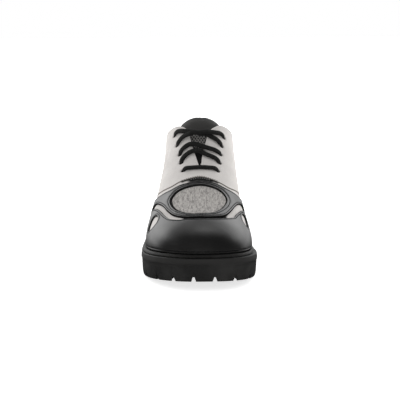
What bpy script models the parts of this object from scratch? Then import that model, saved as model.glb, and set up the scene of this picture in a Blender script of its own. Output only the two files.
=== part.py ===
"""Lace-up shoe for the right foot: sole, welt, insole, upper, tongue, panels and laces.

Lengths in the tables are millimetres: x across (medial side positive), d back from the toe, z up.
A place on the upper is a pair: s runs round the foot (0 toe, 0 to 10 lateral side, 10 heel, 10 to 20
medial side) and v climbs from the sole (0) to the ridge of the instep (1). Outlines of panels are
given as (section, w): w is 0 at the ridge, -1 at the lateral foot and +1 at the medial foot.
"""
import math
from typing import NamedTuple

import bmesh
import bpy
import numpy as np
from mathutils import Vector
from mathutils.geometry import delaunay_2d_cdt

MM = 0.001
SOLE_THICK = 24.0
TOE_SPRING = 10.0
TOE_RAMP = 72.0
HEEL_RISE = 14.0
RISE_FROM = 110.0
RISE_TO = 225.0
ARCH_HEIGHT = 9.0
ARCH_FROM = 126.0
ARCH_TO = 165.0
BREAST_FROM = 206.0
BREAST_TO = 213.0
LUG_PITCH = 20.5
NOTCH_WIDE = 4.6
NOTCH_NARROW = 1.8
NOTCH_HIGH = 4.6
NOTCH_DEEP = 11.0
JOINT = 0.3
WALL = 2.0
PANEL_LIFT = 0.4
PANEL_THICK = 1.2
PANEL_FOOT = 4.1
INSOLE_THICK = 3.0
INSOLE_INSET = 3.0
TONGUE_DROP = 2.8
TONGUE_THICK = 3.4
EYELET_RADIUS = 2.0
LACE_WIDE = 5.0
LACE_THICK = 2.0
LACE_LIFT = 1.4
ROWS_UP = 10


class Section(NamedTuple):
    """One row of the last: where its wall stands on the sole and how it climbs to the ridge."""

    lateral_x: float
    lateral_d: float
    medial_x: float
    medial_d: float
    ridge_x: float
    ridge_d: float
    ridge_z: float
    low_handle: float
    lean: float
    high_lateral: float
    high_medial: float
    sole_margin: float
    face_columns: int


SECTIONS = (
    Section(3.5, 7.0, 3.5, 7.0, 1.0, 33.0, 57.0, 17.0, 12.0, 17.0, 17.0, 7.0, 3),
    Section(-16.0, 9.0, 23.5, 9.5, 0.8, 36.0, 58.0, 17.5, 12.0, 18.0, 18.0, 7.0, 4),
    Section(-35.0, 21.5, 40.0, 23.0, 0.4, 46.0, 61.5, 19.0, 13.0, 26.0, 26.0, 7.0, 4),
    Section(-49.0, 45.0, 47.5, 47.0, 0.2, 68.0, 67.8, 22.0, 12.0, 36.0, 36.0, 6.6, 5),
    Section(-51.5, 80.0, 48.0, 80.0, 1.0, 98.0, 78.5, 27.0, 9.0, 39.0, 38.0, 6.0, 5),
    Section(-45.0, 126.0, 43.0, 124.0, 2.0, 131.0, 93.5, 42.0, 7.0, 31.0, 35.0, 5.4, 5),
    Section(-34.4, 176.0, 38.5, 172.0, 3.0, 161.0, 114.5, 60.0, 6.5, 32.0, 37.0, 5.0, 7),
    Section(-27.2, 222.0, 35.0, 218.0, 3.6, 196.0, 142.0, 68.0, 7.0, 50.0, 50.0, 5.0, 4),
    Section(-26.0, 258.0, 32.5, 256.0, 3.4, 226.0, 158.0, 66.0, 9.0, 46.0, 46.0, 5.4, 5),
    Section(-16.0, 287.0, 21.6, 287.0, 2.6, 246.0, 164.0, 64.0, 9.0, 36.0, 36.0, 6.0, 4),
    Section(2.6, 295.0, 2.6, 295.0, 2.4, 252.0, 165.0, 64.0, 9.0, 36.0, 36.0, 6.4, 0),
)
HALF = len(SECTIONS) - 1


class Mark(NamedTuple):
    """A point of an outline on the last: section and w."""

    section: float
    w: float


class EdgeHeight(NamedTuple):
    """A point of an edge on the last: section and height above the floor."""

    section: float
    z: float


FACING_LATERAL = (Mark(5.0, 0.0), Mark(5.30, -0.034), Mark(5.64, -0.074), Mark(5.94, -0.108), Mark(6.12, -0.126),
                  Mark(6.24, -0.165), Mark(6.31, -0.23), Mark(6.36, -0.30))
FACING_MEDIAL = (Mark(5.0, 0.0), Mark(5.30, 0.012), Mark(5.65, 0.030), Mark(5.96, 0.060), Mark(6.13, 0.076),
                 Mark(6.24, 0.115), Mark(6.31, 0.18), Mark(6.36, 0.25))
COLLAR = (EdgeHeight(6.46, 119.5), EdgeHeight(6.66, 112.5), EdgeHeight(7.0, 103.5), EdgeHeight(7.5, 95.5),
          EdgeHeight(8.05, 91.5), EdgeHeight(8.65, 92.0), EdgeHeight(9.2, 95.0), EdgeHeight(9.65, 97.4),
          EdgeHeight(10.0, 98.2))


class SideRing(NamedTuple):
    """One ring of the outsole's side: its inset, and its height over the floor or under the top."""

    inset: float
    over_floor: float
    under_top: float


OUTSOLE_SIDE = (
    SideRing(3.4, 0.0, -1.0),
    SideRing(2.4, 1.0, -1.0),
    SideRing(1.0, -1.0, 7.6),
    SideRing(0.0, -1.0, 6.6),
    SideRing(0.0, -1.0, 1.2),
    SideRing(1.2, -1.0, 0.0),
)


class ProfilePoint(NamedTuple):
    """A corner of the welt's section: outside the upper's foot, and above the outsole's top."""

    out: float
    up: float


WELT_PROFILE = (ProfilePoint(0.5, 0.3), ProfilePoint(4.2, 0.3), ProfilePoint(4.5, 1.7), ProfilePoint(3.8, 3.0),
                ProfilePoint(2.4, 3.4), ProfilePoint(1.3, 3.0))


class EyeletRow(NamedTuple):
    """A row of eyelets: section and w on each side."""

    lateral_section: float
    lateral_w: float
    medial_section: float
    medial_w: float


EYELETS = (
    EyeletRow(4.99, -0.202, 5.00, 0.200),
    EyeletRow(5.31, -0.242, 5.31, 0.228),
    EyeletRow(5.59, -0.270, 5.59, 0.248),
    EyeletRow(5.89, -0.318, 5.84, 0.270),
    EyeletRow(6.18, -0.358, 6.09, 0.308),
)


OVAL = (Mark(4.09, 0.0), Mark(4.16, -0.13), Mark(4.14, -0.23), Mark(3.99, -0.29), Mark(3.79, -0.296),
        Mark(3.41, -0.268), Mark(2.91, -0.198), Mark(2.52, -0.09), Mark(2.36, 0.005), Mark(2.55, 0.09),
        Mark(2.90, 0.176), Mark(3.43, 0.246), Mark(3.80, 0.277), Mark(4.01, 0.262), Mark(4.14, 0.196),
        Mark(4.15, 0.106))
BAND_TOP = (Mark(5.55, -0.98), Mark(5.32, -0.86), Mark(4.98, -0.69), Mark(4.66, -0.526), Mark(4.44, -0.346),
            Mark(4.41, -0.216), Mark(4.36, -0.102), Mark(4.33, 0.0), Mark(4.37, 0.09), Mark(4.41, 0.154),
            Mark(4.42, 0.294), Mark(4.56, 0.456), Mark(4.72, 0.572), Mark(5.0, 0.71), Mark(5.30, 0.86),
            Mark(5.50, 0.98))
BAND_LOW = (Mark(4.86, -0.98), Mark(4.78, -0.86), Mark(4.66, -0.71), Mark(4.52, -0.6), Mark(4.35, -0.532),
            Mark(3.95, -0.426), Mark(3.46, -0.362), Mark(2.99, -0.312), Mark(2.60, -0.236),
            Mark(2.26, -0.125), Mark(1.95, 0.0), Mark(2.20, 0.11), Mark(2.57, 0.226), Mark(2.88, 0.289),
            Mark(3.18, 0.324), Mark(3.53, 0.363), Mark(3.84, 0.405), Mark(4.17, 0.477), Mark(4.46, 0.589),
            Mark(4.64, 0.71), Mark(4.76, 0.86), Mark(4.84, 0.98))
CAP_TOP = (Mark(4.77, -0.98), Mark(4.69, -0.86), Mark(4.57, -0.725), Mark(4.42, -0.63),
           Mark(4.23, -0.556), Mark(3.81, -0.458), Mark(3.35, -0.408), Mark(2.93, -0.372),
           Mark(2.57, -0.298), Mark(2.34, -0.208), Mark(2.10, -0.118), Mark(1.79, 0.0), Mark(2.05, 0.1),
           Mark(2.29, 0.189), Mark(2.54, 0.267), Mark(2.79, 0.334), Mark(3.03, 0.384), Mark(3.37, 0.414),
           Mark(3.97, 0.514), Mark(4.22, 0.588), Mark(4.42, 0.66), Mark(4.58, 0.75), Mark(4.68, 0.87),
           Mark(4.75, 0.98))
DROP_LATERAL = (Mark(3.61, -0.725), Mark(3.83, -0.648), Mark(3.88, -0.595), Mark(3.80, -0.54),
                Mark(3.60, -0.508), Mark(3.42, -0.518), Mark(3.32, -0.575), Mark(3.38, -0.665))
DROP_MEDIAL = (Mark(3.46, 0.655), Mark(3.83, 0.632), Mark(3.95, 0.608), Mark(3.92, 0.565),
               Mark(3.70, 0.522), Mark(3.45, 0.527), Mark(3.29, 0.572), Mark(3.30, 0.63))


COUNTER_TOP = (EdgeHeight(6.55, 36.5), EdgeHeight(6.85, 46.0), EdgeHeight(7.3, 56.5),
               EdgeHeight(7.9, 66.0), EdgeHeight(8.6, 73.5), EdgeHeight(9.3, 79.0),
               EdgeHeight(10.0, 81.5))
TONGUE = (Mark(6.75, 0.006), Mark(6.70, -0.034), Mark(6.61, -0.082), Mark(6.53, -0.137),
          Mark(6.47, -0.186), Mark(6.42, -0.24), Mark(6.36, -0.29), Mark(6.20, -0.31), Mark(5.9, -0.27),
          Mark(5.4, -0.22), Mark(4.85, -0.18), Mark(4.72, -0.08), Mark(4.70, 0.0), Mark(4.72, 0.08),
          Mark(4.85, 0.17), Mark(5.4, 0.20), Mark(5.9, 0.24), Mark(6.20, 0.305), Mark(6.36, 0.292),
          Mark(6.42, 0.25), Mark(6.475, 0.198), Mark(6.53, 0.148), Mark(6.60, 0.098), Mark(6.68, 0.048))


class LacePath(NamedTuple):
    """A run of lace: its two ends, the section at which it crosses the ridge, and its lift there."""

    start: Mark
    end: Mark
    ridge_section: float
    ridge_lift: float


def smoothstep(low, high, x):
    """Return a smooth step from 0 at low to 1 at high."""
    t = np.clip((np.asarray(x, float) - low) / (high - low), 0.0, 1.0)
    return t * t * (3.0 - 2.0 * t)


def hermite(values, slopes, at, count):
    """Return the cubic through values with slopes at unit knots; knots wrap after count."""
    base = np.floor(at).astype(int)
    t = at - base
    i = base % count
    j = (base + 1) % count
    t2 = t * t
    t3 = t2 * t
    shape = t.shape + (1,) * (values.ndim - 1)
    t, t2, t3 = t.reshape(shape), t2.reshape(shape), t3.reshape(shape)
    return ((2 * t3 - 3 * t2 + 1) * values[i] + (t3 - 2 * t2 + t) * slopes[i]
            + (3 * t2 - 2 * t3) * values[j] + (t3 - t2) * slopes[j])


def loop_slopes(values):
    """Return the slopes of the periodic cubic spline through values."""
    n = len(values)
    eye = np.eye(n)
    matrix = 4.0 * eye + np.roll(eye, 1, 1) + np.roll(eye, -1, 1)
    return np.linalg.solve(matrix, 3.0 * (np.roll(values, -1, 0) - np.roll(values, 1, 0)))


def loop_spline(values, at):
    """Return the periodic cubic spline through values, at loop places."""
    values = np.asarray(values, float)
    return hermite(values, loop_slopes(values), np.asarray(at, float) % len(values), len(values))


def open_spline(values, at):
    """Return a smooth curve through values (one a unit knot), at places from 0 to the last knot."""
    values = np.asarray(values, float)
    slopes = np.gradient(values, axis=0)
    at = np.clip(np.asarray(at, float), 0.0, len(values) - 1 - 1e-9)
    return hermite(values, slopes, at, len(values))


def sole_spring(d):
    """Return the lift of the sole's front off the floor."""
    return TOE_SPRING * np.clip(1.0 - np.asarray(d, float) / TOE_RAMP, 0.0, None) ** 1.25


def sole_top(d):
    """Return the height of the outsole's top."""
    return SOLE_THICK + 0.9 * sole_spring(d) + HEEL_RISE * smoothstep(RISE_FROM, RISE_TO, d)


def sole_floor(d):
    """Return the height of the outsole's underside: spring, flat, arch, breast and heel."""
    arch = smoothstep(ARCH_FROM, ARCH_TO, d) * (1.0 - smoothstep(BREAST_FROM, BREAST_TO, d))
    return sole_spring(d) + ARCH_HEIGHT * arch


def loop_column(lateral, medial):
    """Return a loop of values: lateral toe to heel, then medial heel to toe."""
    there = [getattr(row, lateral) for row in SECTIONS]
    back = [getattr(row, medial) for row in SECTIONS]
    return np.array(there + back[-2:0:-1], float)


COLUMNS = {
    "x": loop_column("lateral_x", "medial_x"),
    "d": loop_column("lateral_d", "medial_d"),
    "ridge_x": loop_column("ridge_x", "ridge_x"),
    "ridge_d": loop_column("ridge_d", "ridge_d"),
    "ridge_z": loop_column("ridge_z", "ridge_z"),
    "low": loop_column("low_handle", "low_handle"),
    "lean": loop_column("lean", "lean"),
    "high": loop_column("high_lateral", "high_medial"),
    "margin": loop_column("sole_margin", "sole_margin"),
}


def column(name, s):
    """Return a column of the last at loop places."""
    return loop_spline(COLUMNS[name], s)


def ridge_slope(d):
    """Return the slope of the ridge at distances from the toe."""
    u = np.linspace(0.0, HALF, 401)
    back = column("ridge_d", u)
    even = np.linspace(back[0], back[-1], 120)
    slope = np.gradient(np.interp(even, back, column("ridge_z", u)), even)
    slope = np.convolve(np.pad(slope, 4, mode="edge"), np.ones(9) / 9.0, "valid")
    return np.interp(d, even, slope)


def surface(s, v):
    """Return points (x, d, z) of the last's skin."""
    s, v = np.broadcast_arrays(np.asarray(s, float), np.asarray(v, float))
    foot_x, foot_d = column("x", s), column("d", s)
    top_x, top_d, top_z = column("ridge_x", s), column("ridge_d", s), column("ridge_z", s)
    low, high = column("low", s), column("high", s)
    lean = np.radians(column("lean", s))
    run = np.hypot(foot_x - top_x, foot_d - top_d)
    out_x, out_d = (foot_x - top_x) / run, (foot_d - top_d) / run
    foot = np.stack([foot_x, foot_d, sole_top(foot_d) + JOINT], -1)
    up = np.stack([out_x * np.sin(lean), out_d * np.sin(lean), np.cos(lean)], -1)
    ridge = np.stack([top_x, top_d, top_z], -1)
    across = np.stack([out_x, out_d, out_d * ridge_slope(top_d)], -1)
    t = v[..., None]
    return (foot * (1 - t)**3 + 3 * (foot + low[..., None] * up) * t * (1 - t)**2
            + 3 * (ridge + high[..., None] * across) * t * t * (1 - t) + ridge * t**3)


def plain_normal(s, v):
    """Return the outward normal of the skin below its ridge."""
    step = 0.01
    along = surface(s + step, v) - surface(s - step, v)
    climb = surface(s, v + step) - surface(s, v - step)
    normal = np.cross(climb, along)
    return normal / np.linalg.norm(normal, axis=-1, keepdims=True)


def normal(s, v):
    """Return the outward normal of the skin, the mean of both sides at the ridge."""
    s, v = np.broadcast_arrays(np.asarray(s, float), np.asarray(v, float))
    under = np.minimum(v, 0.97)
    here = plain_normal(s, under)
    there = plain_normal(-s, under)
    share = 0.5 * smoothstep(0.94, 1.0, v)[..., None]
    mixed = here * (1.0 - share) + there * share
    return mixed / np.linalg.norm(mixed, axis=-1, keepdims=True)


def place(mark):
    """Return the loop place (s, v) of a mark on an outline."""
    return (mark.section if mark.w <= 0.0 else 2 * HALF - mark.section), 1.0 - abs(mark.w)


def spot(mark, lift=0.0):
    """Return the point of a mark, lifted off the skin."""
    s, v = place(mark)
    return surface(s, v) + lift * normal(s, v)


def press(points):
    """Return the loop places (s, v) nearest to points close to the skin."""
    grid_s = np.linspace(0.0, 2 * HALF, 401)[:-1]
    grid_v = np.linspace(0.01, 1.0, 80)
    grid = surface(grid_s[:, None], grid_v[None, :]).reshape(-1, 3)
    nearest = np.array([np.argmin(((grid - point)**2).sum(-1)) for point in points])
    s = grid_s[nearest // len(grid_v)]
    v = grid_v[nearest % len(grid_v)]
    for _ in range(8):
        here = surface(s, v)
        along = (surface(s + 0.005, v) - surface(s - 0.005, v)) / 0.01
        climb = (surface(s, v + 0.005) - surface(s, v - 0.005)) / 0.01
        miss = points - here
        aa, cc, ac = (along**2).sum(-1), (climb**2).sum(-1), (along * climb).sum(-1)
        ra, rc = (along * miss).sum(-1), (climb * miss).sum(-1)
        scale = aa * cc - ac * ac + 1e-6
        s = s + np.clip((ra * cc - rc * ac) / scale, -0.2, 0.2)
        v = np.clip(v + np.clip((rc * aa - ra * ac) / scale, -0.1, 0.1), 0.0, 1.0)
    return s, v


def side_steps(counts):
    """Return section numbers from toe to heel, with counts of columns between sections."""
    runs = [i + np.arange(n) / n for i, n in enumerate(counts)]
    return np.concatenate(runs + [np.array([float(len(counts))])])


def loop_steps(steps):
    """Return loop places from a side's steps: lateral toe to heel, then medial heel to toe."""
    return np.concatenate([steps, 2 * HALF - steps[-2:0:-1]])


def outline(s, out):
    """Return plan points (x, d) outside (or, below zero, inside) the upper's foot."""
    step = 0.01
    t_x = column("x", s + step) - column("x", s - step)
    t_d = column("d", s + step) - column("d", s - step)
    size = np.hypot(t_x, t_d)
    return np.stack([column("x", s) - out * t_d / size, column("d", s) + out * t_x / size], -1)


EDGE = outline(np.linspace(0.0, 2 * HALF, 801), column("margin", np.linspace(0.0, 2 * HALF, 801)))
CENTRE = np.array([*(0.5 * (EDGE.min(0) + EDGE.max(0))), 0.0])


def world(points):
    """Return points of the tables in metres, centred under the sole's outline."""
    return (np.asarray(points, float) - CENTRE) * MM


def leather(name, colour, roughness):
    """Return a plain material with one colour."""
    material = bpy.data.materials.new(name)
    material.use_nodes = True
    shader = material.node_tree.nodes["Principled BSDF"]
    shader.inputs["Base Color"].default_value = (*colour, 1.0)
    shader.inputs["Roughness"].default_value = roughness
    material.diffuse_color = (*colour, 1.0)
    return material


def add_object(name, points, faces, material, group, closed=True):
    """Add a mesh object from points in metres: closed and facing outward, or a skin of even triangles."""
    mesh = bpy.data.meshes.new(name)
    mesh.from_pydata(np.asarray(points).tolist(), [], faces)
    work = bmesh.new()
    work.from_mesh(mesh)
    bmesh.ops.remove_doubles(work, verts=work.verts, dist=1e-6)
    if closed:
        bmesh.ops.recalc_face_normals(work, faces=work.faces)
    else:
        inner = [edge for edge in work.edges if not edge.is_boundary]
        bmesh.ops.beautify_fill(work, faces=work.faces, edges=inner, method="ANGLE")
    work.to_mesh(mesh)
    work.free()
    if material is not None:
        mesh.materials.append(material)
    made = bpy.data.objects.new(name, mesh)
    group.objects.link(made)
    return made


def solidify(target, thickness, offset):
    """Give a skin its thickness: offset 1 outward, -1 inward."""
    shell = target.modifiers.new("thickness", "SOLIDIFY")
    shell.thickness = thickness * MM
    shell.offset = offset
    shell.use_even_offset = True


def cut_away(target, cutter):
    """Cut one object out of another."""
    cut = target.modifiers.new("cut", "BOOLEAN")
    cut.operation = "DIFFERENCE"
    cut.solver = "EXACT"
    cut.object = cutter


def ring_faces(rings, columns):
    """Return quads between rings of points, each ring closed on itself."""
    faces = []
    for r in range(rings - 1):
        for i in range(columns):
            j = (i + 1) % columns
            faces.append((r * columns + i, r * columns + j, (r + 1) * columns + j, (r + 1) * columns + i))
    return faces


def ladder_faces(start, columns):
    """Return quads that close a ring by joining its lateral points to its medial ones."""
    half = columns // 2
    faces = []
    for i in range(half):
        j = (i + 1) % columns
        quad = [start + i, start + j, start + (columns - j) % columns, start + (columns - i) % columns]
        faces.append(tuple(dict.fromkeys(quad)))
    return faces


def slab(name, rings, material, group):
    """Add a solid from stacked rings, closed below and above by rungs across the foot."""
    columns = len(rings[0])
    faces = ring_faces(len(rings), columns)
    faces += ladder_faces(0, columns)
    faces += ladder_faces((len(rings) - 1) * columns, columns)
    return add_object(name, world(np.concatenate(rings)), faces, material, group)


def sole_steps():
    """Return loop places for the sole, with a place on each side of the heel's breast."""
    steps = side_steps((4, 4, 5, 6, 7, 7, 7, 6, 6, 5))
    fine = np.linspace(6.0, 7.5, 301)
    breast = np.interp((BREAST_FROM - 0.5, BREAST_TO + 0.5), column("d", fine), fine)
    kept = [u for u in steps if np.abs(u - breast).min() > 0.06]
    return loop_steps(np.sort(np.concatenate([kept, breast])))


def make_outsole(material, group, cutters):
    """Add the outsole: stepped side, toe spring, arch, heel and notches between the edge lugs."""
    s = sole_steps()
    margin = column("margin", s)
    rings = []
    for ring in OUTSOLE_SIDE:
        plan = outline(s, margin - ring.inset)
        if ring.over_floor >= 0.0:
            height = sole_floor(plan[:, 1]) + ring.over_floor
        else:
            height = sole_top(plan[:, 1]) - ring.under_top
        rings.append(np.column_stack([plan, height]))
    outsole = slab("outsole", rings, material, group)
    notches = make_notches(cutters)
    cut_away(outsole, notches)
    return outsole


def notch_places():
    """Return loop places of the notches, evenly pitched each way from the toe and from the heel."""
    fine = np.linspace(-HALF, 2 * HALF, 6001)
    plan = outline(fine, column("margin", fine) - 2.4)
    length = np.concatenate([[0.0], np.cumsum(np.hypot(*np.diff(plan, axis=0).T))])
    places = []
    for middle, count in ((0.0, 7), (float(HALF), 4)):
        start = np.interp(middle, fine, length)
        for k in range(count):
            for way in (-1, 1):
                place_s = np.interp(start + way * (k + 0.5) * LUG_PITCH, length, fine)
                places.append(place_s)
    return np.array(places)


def make_notches(cutters):
    """Add the wedges that part the lugs along the sole's edge."""
    s = notch_places()
    margin = column("margin", s)
    outer, inner = outline(s, margin + 3.0), outline(s, margin - NOTCH_DEEP)
    edge = outline(s, margin - 2.0)
    inward = (inner - outer) / np.linalg.norm(inner - outer, axis=-1, keepdims=True)
    aside = np.stack([-inward[:, 1], inward[:, 0]], -1)
    points, faces = [], []
    for i in range(len(s)):
        floor = float(sole_floor(edge[i, 1]))
        deep = float(min(floor, sole_floor(inner[i, 1])))
        wide, narrow = 0.5 * NOTCH_WIDE, 0.5 * NOTCH_NARROW
        wide_below = wide + (wide - narrow) * (floor - deep + 2.0) / NOTCH_HIGH
        first = len(points)
        for plan in (outer[i], inner[i]):
            for half, z in ((-wide_below, deep - 2.0), (wide_below, deep - 2.0),
                            (narrow, floor + NOTCH_HIGH), (-narrow, floor + NOTCH_HIGH)):
                points.append((*(plan + half * aside[i]), z))
        box = ((0, 1, 2, 3), (7, 6, 5, 4), (0, 4, 5, 1), (1, 5, 6, 2), (2, 6, 7, 3), (3, 7, 4, 0))
        faces += [tuple(first + k for k in face) for face in box]
    return add_object("notch_cutter", world(points), faces, None, cutters)


def make_welt(material, group):
    """Add the rounded strip that runs round the upper's foot."""
    s = loop_steps(side_steps((3, 4, 4, 5, 5, 5, 5, 4, 5, 4)))
    rings = []
    for point in WELT_PROFILE + WELT_PROFILE[:1]:
        plan = outline(s, point.out)
        rings.append(np.column_stack([plan, sole_top(plan[:, 1]) + point.up]))
    return add_object("welt", world(np.concatenate(rings)), ring_faces(len(rings), len(s)), material, group)


def make_insole(material, group):
    """Add the insole, inside the upper's wall."""
    s = loop_steps(side_steps((2, 3, 3, 4, 4, 4, 4, 3, 4, 3)))
    plan = outline(s, -INSOLE_INSET)
    rings = [np.column_stack([plan, sole_top(plan[:, 1]) + up]) for up in (JOINT, JOINT + INSOLE_THICK)]
    return slab("insole", rings, material, group)


def skin_grid():
    """Return the loop places (s, v) of the skin's columns and rows, each point once."""
    s = loop_steps(side_steps([row.face_columns for row in SECTIONS[:-1]]))
    v = np.linspace(0.0, 1.0, ROWS_UP + 1)[1:]
    places = np.column_stack([np.repeat(s, len(v)), np.tile(v, len(s))])
    once = np.unique(surface(places[:, 0], places[:, 1]).round(2), axis=0, return_index=True)[1]
    return places[np.sort(once)]


def mark_at_height(row, side):
    """Return the mark at a height above the floor on one side of the last."""
    v = np.linspace(0.0, 0.98, 400)
    line = surface(row.section if side < 0 else 2 * HALF - row.section, v)
    return Mark(row.section, side * (1.0 - np.interp(row.z, line[:, 2], v)))


def make_upper(material, group, cutters):
    """Add the upper: one wall, open at collar, throat and underneath, with punched eyelets."""
    collar = [mark_at_height(row, -1) for row in COLLAR]
    collar += [mark_at_height(row, 1) for row in COLLAR[-2::-1]]
    opening = free_edge(list(FACING_LATERAL) + collar + list(FACING_MEDIAL[::-1]), 3, False)[:-1]
    s = loop_steps(side_steps([row.face_columns for row in SECTIONS[:-1]]))
    foot = np.column_stack([s, np.zeros(len(s))])
    upper = make_skin("upper", foot, [opening], 0.0, -WALL, material, group)
    cut_away(upper, make_punches(cutters))
    return upper


def eyelet_marks():
    """Return the marks of all eyelets, lateral then medial in each row."""
    marks = []
    for row in EYELETS:
        marks.append(Mark(row.lateral_section, row.lateral_w))
        marks.append(Mark(row.medial_section, row.medial_w))
    return marks


def make_punches(cutters):
    """Add the round punches of the eyelets as one cutter."""
    work = bmesh.new()
    for mark in eyelet_marks():
        axis = normal(*place(mark))
        turn = Vector(axis).to_track_quat("Z", "Y").to_matrix().to_4x4()
        turn.translation = Vector(world(spot(mark, -0.5 * WALL)))
        bmesh.ops.create_cone(work, cap_ends=True, segments=10, radius1=EYELET_RADIUS * MM,
                              radius2=EYELET_RADIUS * MM, depth=7.0 * MM, matrix=turn)
    mesh = bpy.data.meshes.new("eyelet_cutter")
    work.to_mesh(mesh)
    work.free()
    made = bpy.data.objects.new("eyelet_cutter", mesh)
    cutters.objects.link(made)
    return made


def free_edge(marks, per_leg, closed):
    """Return loop places along a smooth line through marks on the skin."""
    points = np.array([spot(mark) for mark in marks])
    if closed:
        line = loop_spline(points, np.arange(len(marks) * per_leg) / per_leg)
    else:
        line = open_spline(points, np.linspace(0.0, len(marks) - 1, (len(marks) - 1) * per_leg + 1))
    return np.column_stack(press(line))


def foot_v(s):
    """Return v just above the welt."""
    return PANEL_FOOT / (3.0 * column("low", s))


def end_at_foot(line):
    """Return an open line of loop places cut off just above the welt."""
    line = line[line[:, 1] > foot_v(line[:, 0]) + 0.004]
    first = [line[0, 0], float(foot_v(line[0, 0]))]
    last = [line[-1, 0], float(foot_v(line[-1, 0]))]
    return np.vstack([first, line, last])


def foot_run(start, end, count):
    """Return loop places along the welt from start to end, without the ends."""
    s = np.linspace(start, end, count + 2)[1:-1]
    return np.column_stack([s, foot_v(s)])


def chart(places):
    """Return flat coordinates in which every place of the skin is single."""
    s, v = places[:, 0], np.clip(places[:, 1], 0.0, 1.0)
    foot = np.stack([column("x", s), column("d", s)], -1)
    ridge = np.stack([column("ridge_x", s), column("ridge_d", s)], -1)
    return foot * (1.0 - v[:, None]) + ridge * v[:, None]


def inside(points, loop):
    """Return which flat points lie inside a closed loop."""
    x, y = points[:, 0][:, None], points[:, 1][:, None]
    x0, y0 = loop[:, 0][None, :], loop[:, 1][None, :]
    x1, y1 = np.roll(x0, -1, 1), np.roll(y0, -1, 1)
    crosses = (y0 > y) != (y1 > y)
    at = x0 + (y - y0) * (x1 - x0) / np.where(y1 == y0, 1e-9, y1 - y0)
    return (crosses & (x < at)).sum(1) % 2 == 1


def make_skin(name, border, windows, lift, thickness, material, group):
    """Add a piece cut from the last's own skin: its border and windows are lines of loop places.

    It stands lift outside the skin, with its thickness outward (inward where that is below zero).
    """
    loops = [border] + list(windows)
    rim_places = np.concatenate(loops)
    fill = skin_grid()
    flat_loops = [chart(loop) for loop in loops]
    keep = inside(chart(fill), flat_loops[0])
    for hole in flat_loops[1:]:
        keep &= ~inside(chart(fill), hole)
    rim_points = surface(rim_places[:, 0], rim_places[:, 1])
    apart = surface(fill[:, 0], fill[:, 1])[:, None, :] - rim_points[None, :, :]
    keep &= np.linalg.norm(apart, axis=-1).min(1) > 2.2
    places = np.concatenate([rim_places, fill[keep]])
    flat = chart(places)
    edges, first = [], 0
    for loop in loops:
        edges += [(first + i, first + (i + 1) % len(loop)) for i in range(len(loop))]
        first += len(loop)
    found = delaunay_2d_cdt([Vector(p) for p in flat], edges, [], 0, 1e-6)
    origin = [group_of[0] if group_of else -1 for group_of in found[3]]
    kept = np.array([f for f in found[2] if min(origin[k] for k in f) >= 0])
    kept = np.array(origin)[kept]
    centre = flat[kept].mean(1)
    good = inside(centre, flat_loops[0])
    for hole in flat_loops[1:]:
        good &= ~inside(centre, hole)
    a, b, c = (flat[kept[:, k]] for k in range(3))
    area = (b[:, 0] - a[:, 0]) * (c[:, 1] - a[:, 1]) - (b[:, 1] - a[:, 1]) * (c[:, 0] - a[:, 0])
    kept = np.where(area[:, None] < 0.0, kept[:, ::-1], kept)
    faces = [tuple(int(k) for k in face) for face in kept[good & (np.abs(area) > 1e-7)]]
    points = surface(places[:, 0], places[:, 1]) + lift * normal(places[:, 0], places[:, 1])
    skin = add_object(name, world(points), faces, material, group, closed=False)
    solidify(skin, abs(thickness), math.copysign(1.0, thickness))
    return skin


def make_toe_cap(material, group):
    """Add the toe cap with its two drop-shaped windows."""
    top = end_at_foot(free_edge(CAP_TOP, 3, False))
    foot = foot_run(top[-1, 0] - 2 * HALF, top[0, 0], 34)
    drops = [free_edge(marks, 3, True) for marks in (DROP_LATERAL, DROP_MEDIAL)]
    return make_skin("toe_cap", np.vstack([top, foot]), drops, PANEL_LIFT, PANEL_THICK, material, group)


def make_vamp_band(material, group):
    """Add the band with its oval window and a wing down each side."""
    top = end_at_foot(free_edge(BAND_TOP, 3, False))
    low = end_at_foot(free_edge(BAND_LOW, 3, False))[::-1]
    medial = foot_run(top[-1, 0], low[0, 0], 4)
    lateral = foot_run(low[-1, 0], top[0, 0], 4)
    border = np.vstack([top, medial, low, lateral])
    window = free_edge(OVAL, 3, True)
    return make_skin("vamp_band", border, [window], PANEL_LIFT, PANEL_THICK + 0.3, material, group)


def make_oval_panel(material, group):
    """Add the textile panel inside the band's window."""
    line = free_edge(OVAL, 3, True)
    points = surface(line[:, 0], line[:, 1])
    inward = points.mean(0) - points
    inward = inward / np.linalg.norm(inward, axis=-1, keepdims=True)
    border = np.column_stack(press(points + 0.4 * inward))
    return make_skin("oval_panel", border, [], PANEL_LIFT, 0.7, material, group)


def make_heel_counter(material, group):
    """Add the counter round the heel."""
    marks = [mark_at_height(row, -1) for row in COUNTER_TOP]
    marks += [mark_at_height(row, 1) for row in COUNTER_TOP[-2::-1]]
    top = end_at_foot(free_edge(marks, 3, False))
    foot = foot_run(top[-1, 0], top[0, 0], 30)
    return make_skin("heel_counter", np.vstack([top, foot]), [], PANEL_LIFT, PANEL_THICK, material, group)


def make_tongue(material, group):
    """Add the tongue under the facings, with its rounded top standing out of the throat."""
    border = free_edge(TONGUE, 3, True)
    return make_skin("tongue", border, [], -TONGUE_DROP, -TONGUE_THICK, material, group)


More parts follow.
